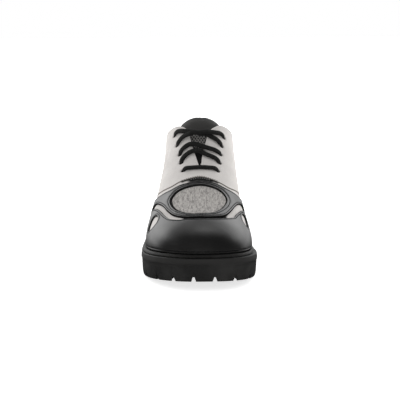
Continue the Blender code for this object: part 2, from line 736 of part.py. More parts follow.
def lace_points(path, stations):
    """Return the swept oval of one run of lace: points by station and corner."""
    start, end = path.start, path.end
    near = Mark(0.5 * (start.section + path.ridge_section), 0.55 * start.w)
    far = Mark(0.5 * (end.section + path.ridge_section), 0.55 * end.w)
    bow = LACE_LIFT + 0.75 * (path.ridge_lift - LACE_LIFT)
    knots = np.array([spot(start, LACE_LIFT), spot(near, bow), spot(Mark(path.ridge_section, 0.0), path.ridge_lift),
                      spot(far, bow), spot(end, LACE_LIFT)])
    at = np.linspace(0.0, len(knots) - 1, stations)
    line = open_spline(knots, at)
    tangent = np.gradient(line, axis=0)
    tangent /= np.linalg.norm(tangent, axis=-1, keepdims=True)
    up = np.array([normal(*place(mark)) for mark in (start, near, Mark(path.ridge_section, 0.0), far, end)])
    up = open_spline(up, at)
    up -= tangent * (up * tangent).sum(-1, keepdims=True)
    up /= np.linalg.norm(up, axis=-1, keepdims=True)
    aside = np.cross(tangent, up)
    turn = 2.0 * math.pi * (np.arange(8) + 0.5) / 8.0
    oval = np.sign(np.cos(turn)) * np.abs(np.cos(turn))**0.7 * 0.5 * LACE_WIDE
    high = np.sin(turn) * 0.5 * LACE_THICK
    return line[:, None, :] + oval[None, :, None] * aside[:, None, :] + high[None, :, None] * up[:, None, :]


def add_lace(name, path, stations, material, group):
    """Add one run of lace as a closed sweep."""
    points = lace_points(path, stations)
    corners = points.shape[1]
    faces = ring_faces(stations, corners)
    faces.append(tuple(range(corners)))
    faces.append(tuple((stations - 1) * corners + k for k in range(corners)))
    return add_object(name, world(points.reshape(-1, 3)), faces, material, group)


def make_laces(material, group, cutters):
    """Add the bars of the lower three rows and the crossing of the upper two."""
    marks = eyelet_marks()
    bars = (("lace_bar_first", 0, 4.99, 1.6), ("lace_bar_second", 2, 5.50, 2.6), ("lace_bar_third", 4, 5.74, 2.8))
    for name, low, ridge, lift in bars:
        add_lace(name, LacePath(marks[low], marks[low + 1], ridge, lift), 15, material, group)
    cross = add_lace("lace_cross", LacePath(marks[6], marks[9], 6.12, 5.0), 17, material, group)
    over = LacePath(marks[7], marks[8], 6.12, 5.7)
    other = add_lace("lace_cross_other", over, 17, None, cutters)
    join = cross.modifiers.new("join", "BOOLEAN")
    join.operation = "UNION"
    join.solver = "EXACT"
    join.object = other


def main():
    """Build the shoe."""
    for old in list(bpy.data.objects):
        bpy.data.objects.remove(old, do_unlink=True)
    group = bpy.data.collections.new("lace_up_shoe")
    cutters = bpy.data.collections.new("cutters")
    bpy.context.scene.collection.children.link(group)
    bpy.context.scene.collection.children.link(cutters)
    white = leather("white_leather", (0.72, 0.70, 0.68), 0.5)
    black = leather("black_leather", (0.03, 0.03, 0.03), 0.4)
    rubber = leather("black_rubber", (0.02, 0.02, 0.02), 0.6)
    textile = leather("grey_textile", (0.30, 0.29, 0.28), 0.9)
    cord = leather("black_cord", (0.02, 0.02, 0.02), 0.8)
    board = leather("insole_fabric", (0.05, 0.05, 0.05), 0.9)
    make_outsole(rubber, group, cutters)
    make_welt(rubber, group)
    make_insole(board, group)
    make_upper(white, group, cutters)
    make_tongue(black, group)
    make_toe_cap(black, group)
    make_vamp_band(black, group)
    make_oval_panel(textile, group)
    make_heel_counter(black, group)
    make_laces(cord, group, cutters)
    for cutter in cutters.objects:
        cutter.hide_render = True
        cutter.display_type = "WIRE"


main()
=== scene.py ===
"""Looks of a lace-up shoe for the right foot: nubuck upper, leather panels, lug sole and flat laces.

Sizes are millimetres in the shoe's own frame: x across (medial side positive), d back from the toe and
z up. A place on the upper is a pair (s, v): s runs round the foot (0 toe, 0 to 10 lateral side, 10 heel,
10 to 20 medial side) and v climbs from the sole (0) to the ridge of the instep (1). Outlines are given as
marks (section, w): w is 0 at the ridge, -1 at the lateral foot and +1 at the medial foot.
"""

import logging
import math
from dataclasses import dataclass, field, replace
from enum import Enum
from functools import cached_property
from typing import Callable, NamedTuple, Sequence, TypeVar

import bmesh
import bpy
import numpy as np
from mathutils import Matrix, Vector
from mathutils.geometry import delaunay_2d_cdt
from numpy.typing import NDArray

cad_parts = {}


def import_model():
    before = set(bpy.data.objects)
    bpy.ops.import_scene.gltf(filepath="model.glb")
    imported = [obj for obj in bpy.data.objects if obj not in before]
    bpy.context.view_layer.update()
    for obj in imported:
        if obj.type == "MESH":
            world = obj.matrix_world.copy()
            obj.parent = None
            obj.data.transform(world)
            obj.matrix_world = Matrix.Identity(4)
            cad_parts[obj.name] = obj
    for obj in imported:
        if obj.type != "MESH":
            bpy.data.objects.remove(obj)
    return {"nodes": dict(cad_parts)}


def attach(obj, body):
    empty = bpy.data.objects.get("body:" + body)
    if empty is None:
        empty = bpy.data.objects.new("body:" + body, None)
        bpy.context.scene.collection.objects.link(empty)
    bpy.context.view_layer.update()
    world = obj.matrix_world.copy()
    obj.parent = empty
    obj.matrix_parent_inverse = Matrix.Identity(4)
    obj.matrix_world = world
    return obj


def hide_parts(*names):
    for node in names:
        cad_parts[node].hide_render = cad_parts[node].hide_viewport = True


Array = NDArray[np.float64]
Numbers = NDArray[np.int64]
Flags = NDArray[np.bool_]
Colour = tuple[float, float, float, float]
Range = tuple[float, float]
Point = tuple[float, float, float]
Material = bpy.types.Material
Object = bpy.types.Object
Socket = bpy.types.NodeSocket
Row = TypeVar("Row")
LOG = logging.getLogger("shoe")
MM = 0.001
BODY = "root"


def table(kind: Callable[..., Row], *values: tuple) -> tuple[Row, ...]:
    """Return the rows of a table as named tuples of one kind."""
    return tuple(kind(*value) for value in values)


class Slot(Enum):
    """Finishes of the record."""

    WHITE = "white_leather"
    BLACK = "black_leather"
    RUBBER = "black_rubber"
    TEXTILE = "grey_textile"
    CORD = "black_cord"
    INSOLE = "insole_fabric"


class Section(NamedTuple):
    """One row of the last: where its wall stands on the sole and how it climbs to the ridge."""

    lateral_x: float
    lateral_d: float
    medial_x: float
    medial_d: float
    ridge_x: float
    ridge_d: float
    ridge_z: float
    low_handle: float
    lean: float
    high_lateral: float
    high_medial: float
    sole_margin: float


class Mark(NamedTuple):
    """A point of an outline on the last: section and w."""

    section: float
    w: float


class EdgeHeight(NamedTuple):
    """A point of an edge on the last: section and height above the floor."""

    section: float
    z: float


SECTIONS = table(
    Section,
    (3.5, 7.0, 3.5, 7.0, 1.0, 33.0, 57.0, 17.0, 12.0, 17.0, 17.0, 7.0),
    (-16.0, 9.0, 23.5, 9.5, 0.8, 36.0, 58.0, 17.5, 12.0, 18.0, 18.0, 7.0),
    (-35.0, 21.5, 40.0, 23.0, 0.4, 46.0, 61.5, 19.0, 13.0, 26.0, 26.0, 7.0),
    (-49.0, 45.0, 47.5, 47.0, 0.2, 68.0, 67.8, 22.0, 12.0, 36.0, 36.0, 6.6),
    (-51.5, 80.0, 48.0, 80.0, 1.0, 98.0, 78.5, 27.0, 9.0, 39.0, 38.0, 6.0),
    (-45.0, 126.0, 43.0, 124.0, 2.0, 131.0, 93.5, 42.0, 7.0, 31.0, 35.0, 5.4),
    (-34.4, 176.0, 38.5, 172.0, 3.0, 161.0, 114.5, 60.0, 6.5, 32.0, 37.0, 5.0),
    (-27.2, 222.0, 35.0, 218.0, 3.6, 196.0, 142.0, 68.0, 7.0, 50.0, 50.0, 5.0),
    (-26.0, 258.0, 32.5, 256.0, 3.4, 226.0, 158.0, 66.0, 9.0, 46.0, 46.0, 5.4),
    (-16.0, 287.0, 21.6, 287.0, 2.6, 246.0, 164.0, 64.0, 9.0, 36.0, 36.0, 6.0),
    (2.6, 295.0, 2.6, 295.0, 2.4, 252.0, 165.0, 64.0, 9.0, 36.0, 36.0, 6.4))
HALF = len(SECTIONS) - 1
ROUND = 2 * HALF

FACING_LATERAL = table(
    Mark, (5.0, 0.0), (5.3, -0.034), (5.64, -0.074), (5.94, -0.108), (6.12, -0.126), (6.24, -0.165),
    (6.31, -0.23), (6.36, -0.3))
FACING_MEDIAL = table(
    Mark, (5.0, 0.0), (5.3, 0.012), (5.65, 0.03), (5.96, 0.06), (6.13, 0.076), (6.24, 0.115), (6.31, 0.18),
    (6.36, 0.25))
COLLAR = table(
    EdgeHeight, (6.46, 119.5), (6.66, 112.5), (7.0, 103.5), (7.5, 95.5), (8.05, 91.5), (8.65, 92.0),
    (9.2, 95.0), (9.65, 97.4), (10.0, 98.2))
COUNTER_TOP = table(
    EdgeHeight, (6.55, 36.5), (6.85, 46.0), (7.3, 56.5), (7.9, 66.0), (8.6, 73.5), (9.3, 79.0),
    (10.0, 81.5))
OVAL = table(
    Mark, (4.09, 0.0), (4.16, -0.13), (4.14, -0.23), (3.99, -0.29), (3.79, -0.296), (3.41, -0.268),
    (2.91, -0.198), (2.52, -0.09), (2.36, 0.005), (2.55, 0.09), (2.9, 0.176), (3.43, 0.246), (3.8, 0.277),
    (4.01, 0.262), (4.14, 0.196), (4.15, 0.106))
BAND_TOP = table(
    Mark, (5.55, -0.98), (5.32, -0.86), (4.98, -0.69), (4.66, -0.526), (4.44, -0.346), (4.41, -0.216),
    (4.36, -0.102), (4.33, 0.0), (4.37, 0.09), (4.41, 0.154), (4.42, 0.294), (4.56, 0.456), (4.72, 0.572),
    (5.0, 0.71), (5.3, 0.86), (5.5, 0.98))
BAND_LOW = table(
    Mark, (4.86, -0.98), (4.78, -0.86), (4.66, -0.71), (4.52, -0.6), (4.35, -0.532), (3.95, -0.426),
    (3.46, -0.362), (2.99, -0.312), (2.6, -0.236), (2.26, -0.125), (1.95, 0.0), (2.2, 0.11), (2.57, 0.226),
    (2.88, 0.289), (3.18, 0.324), (3.53, 0.363), (3.84, 0.405), (4.17, 0.477), (4.46, 0.589), (4.64, 0.71),
    (4.76, 0.86), (4.84, 0.98))
CAP_TOP = table(
    Mark, (4.77, -0.98), (4.69, -0.86), (4.57, -0.725), (4.42, -0.63), (4.23, -0.556), (3.81, -0.458),
    (3.35, -0.408), (2.93, -0.372), (2.57, -0.298), (2.34, -0.208), (2.1, -0.118), (1.79, 0.0), (2.05, 0.1),
    (2.29, 0.189), (2.54, 0.267), (2.79, 0.334), (3.03, 0.384), (3.37, 0.414), (3.97, 0.514), (4.22, 0.588),
    (4.42, 0.66), (4.58, 0.75), (4.68, 0.87), (4.75, 0.98))
DROP_LATERAL = table(
    Mark, (3.61, -0.725), (3.83, -0.648), (3.88, -0.595), (3.8, -0.54), (3.6, -0.508), (3.42, -0.518),
    (3.32, -0.575), (3.38, -0.665))
DROP_MEDIAL = table(
    Mark, (3.46, 0.655), (3.83, 0.632), (3.95, 0.608), (3.92, 0.565), (3.7, 0.522), (3.45, 0.527),
    (3.29, 0.572), (3.3, 0.63))
TONGUE = table(
    Mark, (6.75, 0.006), (6.7, -0.034), (6.61, -0.082), (6.53, -0.137), (6.47, -0.186), (6.42, -0.24),
    (6.36, -0.29), (6.2, -0.31), (5.9, -0.27), (5.4, -0.22), (4.85, -0.18), (4.72, -0.08), (4.7, 0.0),
    (4.72, 0.08), (4.85, 0.17), (5.4, 0.2), (5.9, 0.24), (6.2, 0.305), (6.36, 0.292), (6.42, 0.25),
    (6.475, 0.198), (6.53, 0.148), (6.6, 0.098), (6.68, 0.048))
QUARTER = table(
    Mark, (5.84, -0.98), (5.58, -0.86), (5.22, -0.7), (4.88, -0.542), (4.62, -0.358), (4.59, -0.222),
    (4.56, -0.106), (4.53, 0.0), (4.55, 0.1), (4.55, 0.216), (4.61, 0.364), (4.94, 0.56), (5.26, 0.71),
    (5.58, 0.86), (5.8, 0.98))
EYELETS = (table(Mark, (4.99, -0.202), (5.0, 0.2)), table(Mark, (5.31, -0.242), (5.31, 0.228)),
           table(Mark, (5.59, -0.27), (5.59, 0.248)), table(Mark, (5.89, -0.318), (5.84, 0.27)),
           table(Mark, (6.18, -0.358), (6.09, 0.308)))


class Knot(NamedTuple):
    """A knot of a lace run between its eyelets: section, w and lift off the skin."""

    section: float
    w: float
    lift: float


LACE_BAR = table(
    Knot, (4.99, -0.165, 1.9), (4.95, -0.1, 2.0), (4.91, 0.0, 1.8), (4.96, 0.09, 2.0), (5.0, 0.162, 1.9))
LACE_SECOND = table(
    Knot, (5.42, -0.194, 2.4), (5.47, -0.155, 2.8), (5.52, -0.112, 3.0), (5.55, -0.07, 3.0),
    (5.55, -0.013, 3.0), (5.49, 0.028, 3.0), (5.43, 0.064, 3.0), (5.39, 0.112, 2.8), (5.35, 0.172, 2.4))
LACE_THIRD = table(
    Knot, (5.7, -0.197, 2.4), (5.76, -0.13, 3.0), (5.77, -0.089, 3.2), (5.77, -0.042, 3.2),
    (5.75, 0.003, 3.2), (5.7, 0.038, 3.0), (5.65, 0.09, 2.8), (5.61, 0.174, 2.4))
LACE_FOURTH = table(
    Knot, (5.94, -0.249, 2.8), (5.99, -0.181, 4.2), (6.02, -0.122, 5.2), (6.08, -0.064, 5.4),
    (6.12, -0.012, 5.4), (6.11, 0.05, 5.2), (6.09, 0.119, 4.4), (6.09, 0.167, 3.6), (6.1, 0.222, 2.8))
LACE_FIFTH = table(
    Knot, (6.18, -0.294, 2.4), (6.15, -0.224, 3.0), (6.12, -0.15, 3.2), (6.12, -0.099, 3.2),
    (6.14, -0.043, 3.2), (6.15, 0.0, 3.2), (6.09, 0.052, 3.0), (6.03, 0.089, 3.0), (5.93, 0.172, 2.8),
    (5.87, 0.221, 2.4))
LACE_BEHIND = table(Knot, (5.25, -0.315, -3.2), (5.45, -0.345, -3.2), (5.65, -0.36, -3.2))


class Crease(NamedTuple):
    """A crease of the upper: a trough between two marks, its depth and width."""

    start: Mark
    end: Mark
    depth: float
    width: float


CREASES = table(
    Crease,
    (Mark(5.55, -0.66), Mark(5.95, -0.50), 0.7, 3.0),
    (Mark(5.75, -0.72), Mark(6.25, -0.56), 0.45, 3.4),
    (Mark(5.60, 0.70), Mark(6.05, 0.54), 0.5, 3.2),
    (Mark(6.9, -0.70), Mark(7.5, -0.78), 0.4, 4.0),
    (Mark(6.9, 0.70), Mark(7.5, 0.80), 0.4, 4.0))


def smoothstep(low: float, high: float, x: Array) -> Array:
    """Return a smooth step, 3t^2 - 2t^3, from 0 at low to 1 at high."""
    t = np.clip((np.asarray(x, float) - low) / (high - low), 0.0, 1.0)
    return t * t * (3.0 - 2.0 * t)


def bell(x: Array, width: float) -> Array:
    """Return a soft bump, exp(-(x/width)^2)."""
    return np.exp(-(np.asarray(x, float) / width) ** 2)


def unit(vectors: Array) -> Array:
    """Return vectors scaled to length 1."""
    return vectors / np.maximum(np.linalg.norm(vectors, axis=-1, keepdims=True), 1e-12)


def hermite(t: Array, size: Array, ends: tuple[Array, Array], slopes: tuple[Array, Array]) -> Array:
    """Return the cubic between two ends with given slopes.

    Args:
        t: place between the ends, 0 to 1.
        size: length of the step between the ends.
        ends: values at both ends.
        slopes: slopes at both ends.

    Returns:
        Values of the cubic Hermite polynomial at t.
    """
    t2, t3 = t * t, t * t * t
    return ((2 * t3 - 3 * t2 + 1) * ends[0] + (t3 - 2 * t2 + t) * size * slopes[0]
            + (3 * t2 - 2 * t3) * ends[1] + (t3 - t2) * size * slopes[1])


def loop_spline(values: Array, at: Array) -> Array:
    """Return the periodic cubic spline through values, one a unit knot.

    Args:
        values: knot values, first axis round the loop.
        at: places on the loop; they wrap after the last knot.

    Returns:
        Values of the spline at those places.
    """
    values = np.asarray(values, float)
    n = len(values)
    eye = np.eye(n)
    matrix = 4.0 * eye + np.roll(eye, 1, 1) + np.roll(eye, -1, 1)
    slopes = np.linalg.solve(matrix, 3.0 * (np.roll(values, -1, 0) - np.roll(values, 1, 0)))
    at = np.asarray(at, float) % n
    base = np.floor(at).astype(int)
    t = (at - base).reshape(at.shape + (1,) * (values.ndim - 1))
    i, j = base % n, (base + 1) % n
    return hermite(t, np.ones_like(t), (values[i], values[j]), (slopes[i], slopes[j]))


def open_spline(knots: Array, values: Array, at: Array) -> Array:
    """Return a smooth curve through values at rising knots, with slopes by central differences.

    Args:
        knots: rising parameter of each value.
        values: knot values, first axis along the curve.
        at: parameters at which the curve is wanted.

    Returns:
        Values of the curve.
    """
    slopes = np.gradient(values, knots, axis=0)
    i = np.clip(np.searchsorted(knots, at, side="right") - 1, 0, len(knots) - 2)
    size = (knots[i + 1] - knots[i]).reshape(at.shape + (1,) * (values.ndim - 1))
    t = (at - knots[i]).reshape(size.shape) / size
    return hermite(t, size, (values[i], values[i + 1]), (slopes[i], slopes[i + 1]))


def run_length(points: Array) -> Array:
    """Return the length along a line of points, from 0 at its first point."""
    return np.concatenate([[0.0], np.cumsum(np.linalg.norm(np.diff(points, axis=0), axis=-1))])


def interp_rows(at: Array, knots: Array, values: Array) -> Array:
    """Return rows of values at places between rising knots, by straight steps in every column."""
    return np.stack([np.interp(at, knots, column) for column in values.T], -1)


def even_steps(points: Array, spacing: float, closed: bool) -> Array:
    """Return points at even steps along a line.

    Args:
        points: points of the line, close together.
        spacing: wanted distance between the new points.
        closed: whether the line returns to its first point.

    Returns:
        The new points, with both ends of an open line.
    """
    line = np.vstack([points, points[:1]]) if closed else points
    length = run_length(line)
    count = max(8, int(round(length[-1] / spacing)))
    wanted = np.linspace(0.0, length[-1], count + 1)
    wanted = wanted[:-1] if closed else wanted
    return interp_rows(wanted, length, line)


def nearest(points: Array, others: Array, batch: int = 1500) -> tuple[Array, Numbers]:
    """Return each point's nearest neighbour among others, by |p|^2 - 2 p.q + |q|^2.

    Args:
        points: rows of points.
        others: rows of points to choose from.
        batch: number of points worked out at once.

    Returns:
        Each point's distance, and the number of the other point.
    """
    far = np.empty(len(points))
    index = np.empty(len(points), int)
    size = (others ** 2).sum(-1)
    for start in range(0, len(points), batch):
        part = points[start:start + batch]
        square = (part ** 2).sum(-1)[:, None] - 2.0 * part @ others.T + size[None, :]
        best = square.argmin(1)
        index[start:start + batch] = best
        far[start:start + batch] = np.sqrt(np.maximum(square[np.arange(len(part)), best], 0.0))
    return far, index


def inside(points: Array, loop: Array, batch: int = 4000) -> Flags:
    """Return which flat points lie inside a closed loop, by counting the sides that a ray crosses.

    Args:
        points: rows of flat points.
        loop: corners of the loop.
        batch: number of points worked out at once.

    Returns:
        A flag for each point.
    """
    x0, y0 = loop[:, 0][None, :], loop[:, 1][None, :]
    x1, y1 = np.roll(x0, -1, 1), np.roll(y0, -1, 1)
    rise = np.where(y1 == y0, 1e-9, y1 - y0)
    found = np.empty(len(points), bool)
    for start in range(0, len(points), batch):
        x, y = (points[start:start + batch, axis][:, None] for axis in (0, 1))
        crosses = ((y0 > y) != (y1 > y)) & (x < x0 + (y - y0) * (x1 - x0) / rise)
        found[start:start + batch] = crosses.sum(1) % 2 == 1
    return found


@dataclass(frozen=True)
class Last:
    """The foot form and the sole line that every piece follows."""

    sole_thick: float = 24.0
    toe_spring: float = 10.0
    toe_ramp: float = 72.0
    heel_rise: float = 14.0
    rise_from: float = 110.0
    rise_to: float = 225.0
    arch_height: float = 9.0
    arch_from: float = 126.0
    arch_to: float = 165.0
    breast_from: float = 206.0
    breast_to: float = 213.0
    joint: float = 0.3
    panel_foot: float = 4.1

    @cached_property
    def columns(self) -> dict[str, Array]:
        """Return the sections' columns as loops: lateral toe to heel, then medial heel to toe."""
        pairs = {"x": ("lateral_x", "medial_x"), "d": ("lateral_d", "medial_d"),
                 "high": ("high_lateral", "high_medial"), "low": ("low_handle",) * 2,
                 "margin": ("sole_margin",) * 2}
        for name in ("ridge_x", "ridge_d", "ridge_z", "lean"):
            pairs[name] = (name, name)
        made = {}
        for name, (lateral, medial) in pairs.items():
            there = [getattr(row, lateral) for row in SECTIONS]
            back = [getattr(row, medial) for row in SECTIONS]
            made[name] = np.array(there + back[-2:0:-1], float)
        return made

    @cached_property
    def centre(self) -> Array:
        """Return the middle of the sole's outline, which is the origin of the shoe's frame."""
        s = np.linspace(0.0, ROUND, 801)
        edge = self.outline(s, self.column("margin", s))
        return np.array([*(0.5 * (edge.min(0) + edge.max(0))), 0.0])

    @cached_property
    def slope_table(self) -> tuple[Array, Array]:
        """Return distances from the toe and the smoothed slope of the ridge there."""
        u = np.linspace(0.0, HALF, 401)
        back = self.column("ridge_d", u)
        even = np.linspace(back[0], back[-1], 120)
        slope = np.gradient(np.interp(even, back, self.column("ridge_z", u)), even)
        return even, np.convolve(np.pad(slope, 4, mode="edge"), np.ones(9) / 9.0, "valid")

    @cached_property
    def press_grid(self) -> tuple[Array, Array]:
        """Return a coarse grid of places on the skin and their points."""
        s, v = np.meshgrid(np.linspace(0.0, ROUND, 361)[:-1], np.linspace(0.01, 1.0, 60), indexing="ij")
        places = np.column_stack([s.ravel(), v.ravel()])
        return places, self.surface(places)

    def column(self, name: str, s: Array) -> Array:
        """Return a column of the last at loop places."""
        return loop_spline(self.columns[name], s)

    def sole_spring(self, d: Array) -> Array:
        """Return the lift of the sole's front off the floor."""
        return self.toe_spring * np.clip(1.0 - np.asarray(d, float) / self.toe_ramp, 0.0, None) ** 1.25

    def sole_top(self, d: Array) -> Array:
        """Return the height of the outsole's top."""
        rise = self.heel_rise * smoothstep(self.rise_from, self.rise_to, d)
        return self.sole_thick + 0.9 * self.sole_spring(d) + rise

    def sole_floor(self, d: Array) -> Array:
        """Return the height of the outsole's underside: spring, flat, arch, breast and heel."""
        breast = 1.0 - smoothstep(self.breast_from, self.breast_to, d)
        return self.sole_spring(d) + self.arch_height * smoothstep(self.arch_from, self.arch_to, d) * breast

    def outline(self, s: Array, out: Array) -> Array:
        """Return the upper's foot line moved along its normal in plan.

        Args:
            s: loop places.
            out: distance outwards, below zero inwards.

        Returns:
            Rows of (x, d).
        """
        step = 0.01
        t_x = self.column("x", s + step) - self.column("x", s - step)
        t_d = self.column("d", s + step) - self.column("d", s - step)
        size = np.hypot(t_x, t_d)
        return np.stack([self.column("x", s) - out * t_d / size, self.column("d", s) + out * t_x / size], -1)

    def surface(self, places: Array) -> Array:
        """Return points of the skin.

        Each line of one s is a cubic Bezier curve from the foot, leaving it along a leaning handle, to
        the ridge, reaching it along a handle that lies in the ridge's slope.

        Args:
            places: rows of (s, v).

        Returns:
            Rows of (x, d, z).
        """
        s, t = places[..., 0], places[..., 1][..., None]
        foot_x, foot_d = self.column("x", s), self.column("d", s)
        top_x, top_d = self.column("ridge_x", s), self.column("ridge_d", s)
        lean = np.radians(self.column("lean", s))
        run = np.hypot(foot_x - top_x, foot_d - top_d)
        out_x, out_d = (foot_x - top_x) / run, (foot_d - top_d) / run
        foot = np.stack([foot_x, foot_d, self.sole_top(foot_d) + self.joint], -1)
        up = np.stack([out_x * np.sin(lean), out_d * np.sin(lean), np.cos(lean)], -1)
        ridge = np.stack([top_x, top_d, self.column("ridge_z", s)], -1)
        across = np.stack([out_x, out_d, out_d * np.interp(top_d, *self.slope_table)], -1)
        low, high = self.column("low", s)[..., None], self.column("high", s)[..., None]
        return (foot * (1 - t) ** 3 + 3 * (foot + low * up) * t * (1 - t) ** 2
                + 3 * (ridge + high * across) * t * t * (1 - t) + ridge * t ** 3)

    def differences(self, s: Array, v: Array, step: float) -> tuple[Array, Array]:
        """Return how the skin moves along s and up v, from a step before to a step after.

        Args:
            s: loop places.
            v: heights on the skin.
            step: step in s and in v.

        Returns:
            Both differences.
        """
        along = self.surface(np.stack([s + step, v], -1)) - self.surface(np.stack([s - step, v], -1))
        climb = self.surface(np.stack([s, v + step], -1)) - self.surface(np.stack([s, v - step], -1))
        return along, climb

    def plain_normal(self, s: Array, v: Array) -> Array:
        """Return the outward normal of the skin below its ridge."""
        along, climb = self.differences(s, v, 0.01)
        return unit(np.cross(climb, along))

    def normal(self, places: Array) -> Array:
        """Return the outward normal of the skin, the mean of both sides at the ridge.

        Args:
            places: rows of (s, v).

        Returns:
            Rows of unit vectors.
        """
        s, v = places[..., 0], places[..., 1]
        under = np.minimum(v, 0.97)
        share = 0.5 * smoothstep(0.94, 1.0, v)[..., None]
        return unit(self.plain_normal(s, under) * (1.0 - share) + self.plain_normal(-s, under) * share)

    def press(self, points: Array) -> Array:
        """Return the places nearest to points close to the skin, by Newton steps from a coarse grid.

        Args:
            points: rows of points.

        Returns:
            Rows of (s, v).
        """
        grid, grid_points = self.press_grid
        s, v = grid[nearest(points, grid_points)[1]].T
        step = 0.005
        for _ in range(8):
            along, climb = (moved / (2.0 * step) for moved in self.differences(s, v, step))
            miss = points - self.surface(np.stack([s, v], -1))
            aa, cc, ac = (along ** 2).sum(-1), (climb ** 2).sum(-1), (along * climb).sum(-1)
            ra, rc = (along * miss).sum(-1), (climb * miss).sum(-1)
            scale = aa * cc - ac * ac + 1e-6
            s = s + np.clip((ra * cc - rc * ac) / scale, -0.2, 0.2)
            v = np.clip(v + np.clip((rc * aa - ra * ac) / scale, -0.1, 0.1), 0.0, 1.0)
        return np.stack([s, v], -1)

    def spots(self, marks: Sequence[Mark], lift: float = 0.0) -> Array:
        """Return the points of marks, lifted off the skin."""
        places = np.array([(m.section if m.w <= 0.0 else ROUND - m.section, 1.0 - abs(m.w)) for m in marks])
        return self.surface(places) + lift * self.normal(places)

    def mark_at(self, row: EdgeHeight, side: int) -> Mark:
        """Return the mark at a height above the floor.

        Args:
            row: section and height.
            side: -1 for the lateral side, 1 for the medial one.

        Returns:
            The mark.
        """
        v = np.linspace(0.0, 0.98, 400)
        s = np.full_like(v, row.section if side < 0 else ROUND - row.section)
        line = self.surface(np.stack([s, v], -1))
        return Mark(row.section, side * (1.0 - float(np.interp(row.z, line[:, 2], v))))

    def both_sides(self, rows: Sequence[EdgeHeight]) -> list[Mark]:
        """Return the marks of an edge that runs round the heel at given heights."""
        return [self.mark_at(row, -1) for row in rows] + [self.mark_at(row, 1) for row in rows[-2::-1]]

    def edge(self, marks: Sequence[Mark], closed: bool, spacing: float) -> Array:
        """Return evenly spaced places along a smooth line through marks on the skin.

        Args:
            marks: marks in order.
            closed: whether the line returns to its first mark.
            spacing: distance between the places.

        Returns:
            Rows of (s, v).
        """
        points = self.spots(marks)
        fine = 40
        if closed:
            dense = loop_spline(points, np.arange(len(points) * fine) / fine)
        else:
            at = np.linspace(0.0, len(points) - 1.0, (len(points) - 1) * fine + 1)
            dense = open_spline(np.arange(len(points), dtype=float), points, at)
        return self.press(even_steps(dense, spacing, closed))

    def foot_line(self, start: float, end: float, spacing: float) -> Array:
        """Return places along the welt from one loop place to another, without the ends.

        Args:
            start: loop place where the line starts.
            end: loop place where it ends.
            spacing: about the distance between the places.

        Returns:
            Rows of (s, v).
        """
        count = max(3, int(abs(end - start) * 30.0 / spacing))
        s = np.linspace(start, end, count + 2)[1:-1]
        return np.column_stack([s, self.foot_v(s)])

    def foot_v(self, s: Array) -> Array:
        """Return v just above the welt."""
        return self.panel_foot / (3.0 * self.column("low", s))

    def to_foot(self, line: Array) -> Array:
        """Return an open line cut off just above the welt.

        Args:
            line: rows of (s, v).

        Returns:
            The line's rows above the welt, with a foot at both ends.
        """
        line = line[line[:, 1] > self.foot_v(line[:, 0]) + 0.006]
        ends = line[[0, -1], 0]
        feet = np.column_stack([ends, self.foot_v(ends)])
        return np.vstack([feet[:1], line, feet[1:]])

    def side_vectors(self, places: Array, closed: bool) -> Array:
        """Return unit vectors in the skin, to the left of a line seen from outside.

        Args:
            places: rows of (s, v) along the line.
            closed: whether the line returns to its first place.

        Returns:
            Rows of unit vectors.
        """
        points = self.surface(places)
        if closed:
            along = np.roll(points, -1, 0) - np.roll(points, 1, 0)
        else:
            along = np.gradient(points, axis=0)
        return unit(np.cross(self.normal(places), unit(along)))

    def offset(self, places: Array, distance: float, closed: bool) -> Array:
        """Return a line of places moved to its left in the skin."""
        return self.press(self.surface(places) + distance * self.side_vectors(places, closed))

    def section(self, places: Array) -> Array:
        """Return the section numbers of places on either side."""
        return HALF - np.abs(HALF - places[:, 0] % ROUND)

    def chart(self, places: Array) -> Array:
        """Return flat coordinates: the point at share v of the plan line from foot to ridge.

        Args:
            places: rows of (s, v).

        Returns:
            Rows of (x, d).
        """
        s, v = places[:, 0], np.clip(places[:, 1], 0.0, 1.0)[:, None]
        foot = np.stack([self.column("x", s), self.column("d", s)], -1)
        ridge = np.stack([self.column("ridge_x", s), self.column("ridge_d", s)], -1)
        return foot * (1.0 - v) + ridge * v

    def lattice(self, spacing: float) -> Array:
        """Return places spread evenly over the skin, in rows of one v.

        Args:
            spacing: distance between the places.

        Returns:
            Rows of (s, v).
        """
        fine = np.linspace(0.0, ROUND, 1201)
        climb = 88.0
        rows = []
        for v in np.linspace(0.0, 1.0, int(climb / spacing) + 1)[1:]:
            s = fine if v < 1.0 else fine[:len(fine) // 2 + 1]
            length = run_length(self.surface(np.stack([s, np.full_like(s, v)], -1)))
            wanted = np.linspace(0.0, length[-1], max(12, int(length[-1] / spacing)), endpoint=v == 1.0)
            places = np.interp(wanted, length, s)
            rows.append(np.column_stack([places, np.full_like(places, v)]))
        return np.vstack(rows)

    def world(self, points: Array) -> Array:
        """Return points in metres, in the shoe's frame."""
        return (np.asarray(points, float) - self.centre) * MM


class Rim(NamedTuple):
    """A cut line or a seam on the skin, and the distances of the rings of points that follow it."""

    line: Array
    rings: tuple[float, ...]


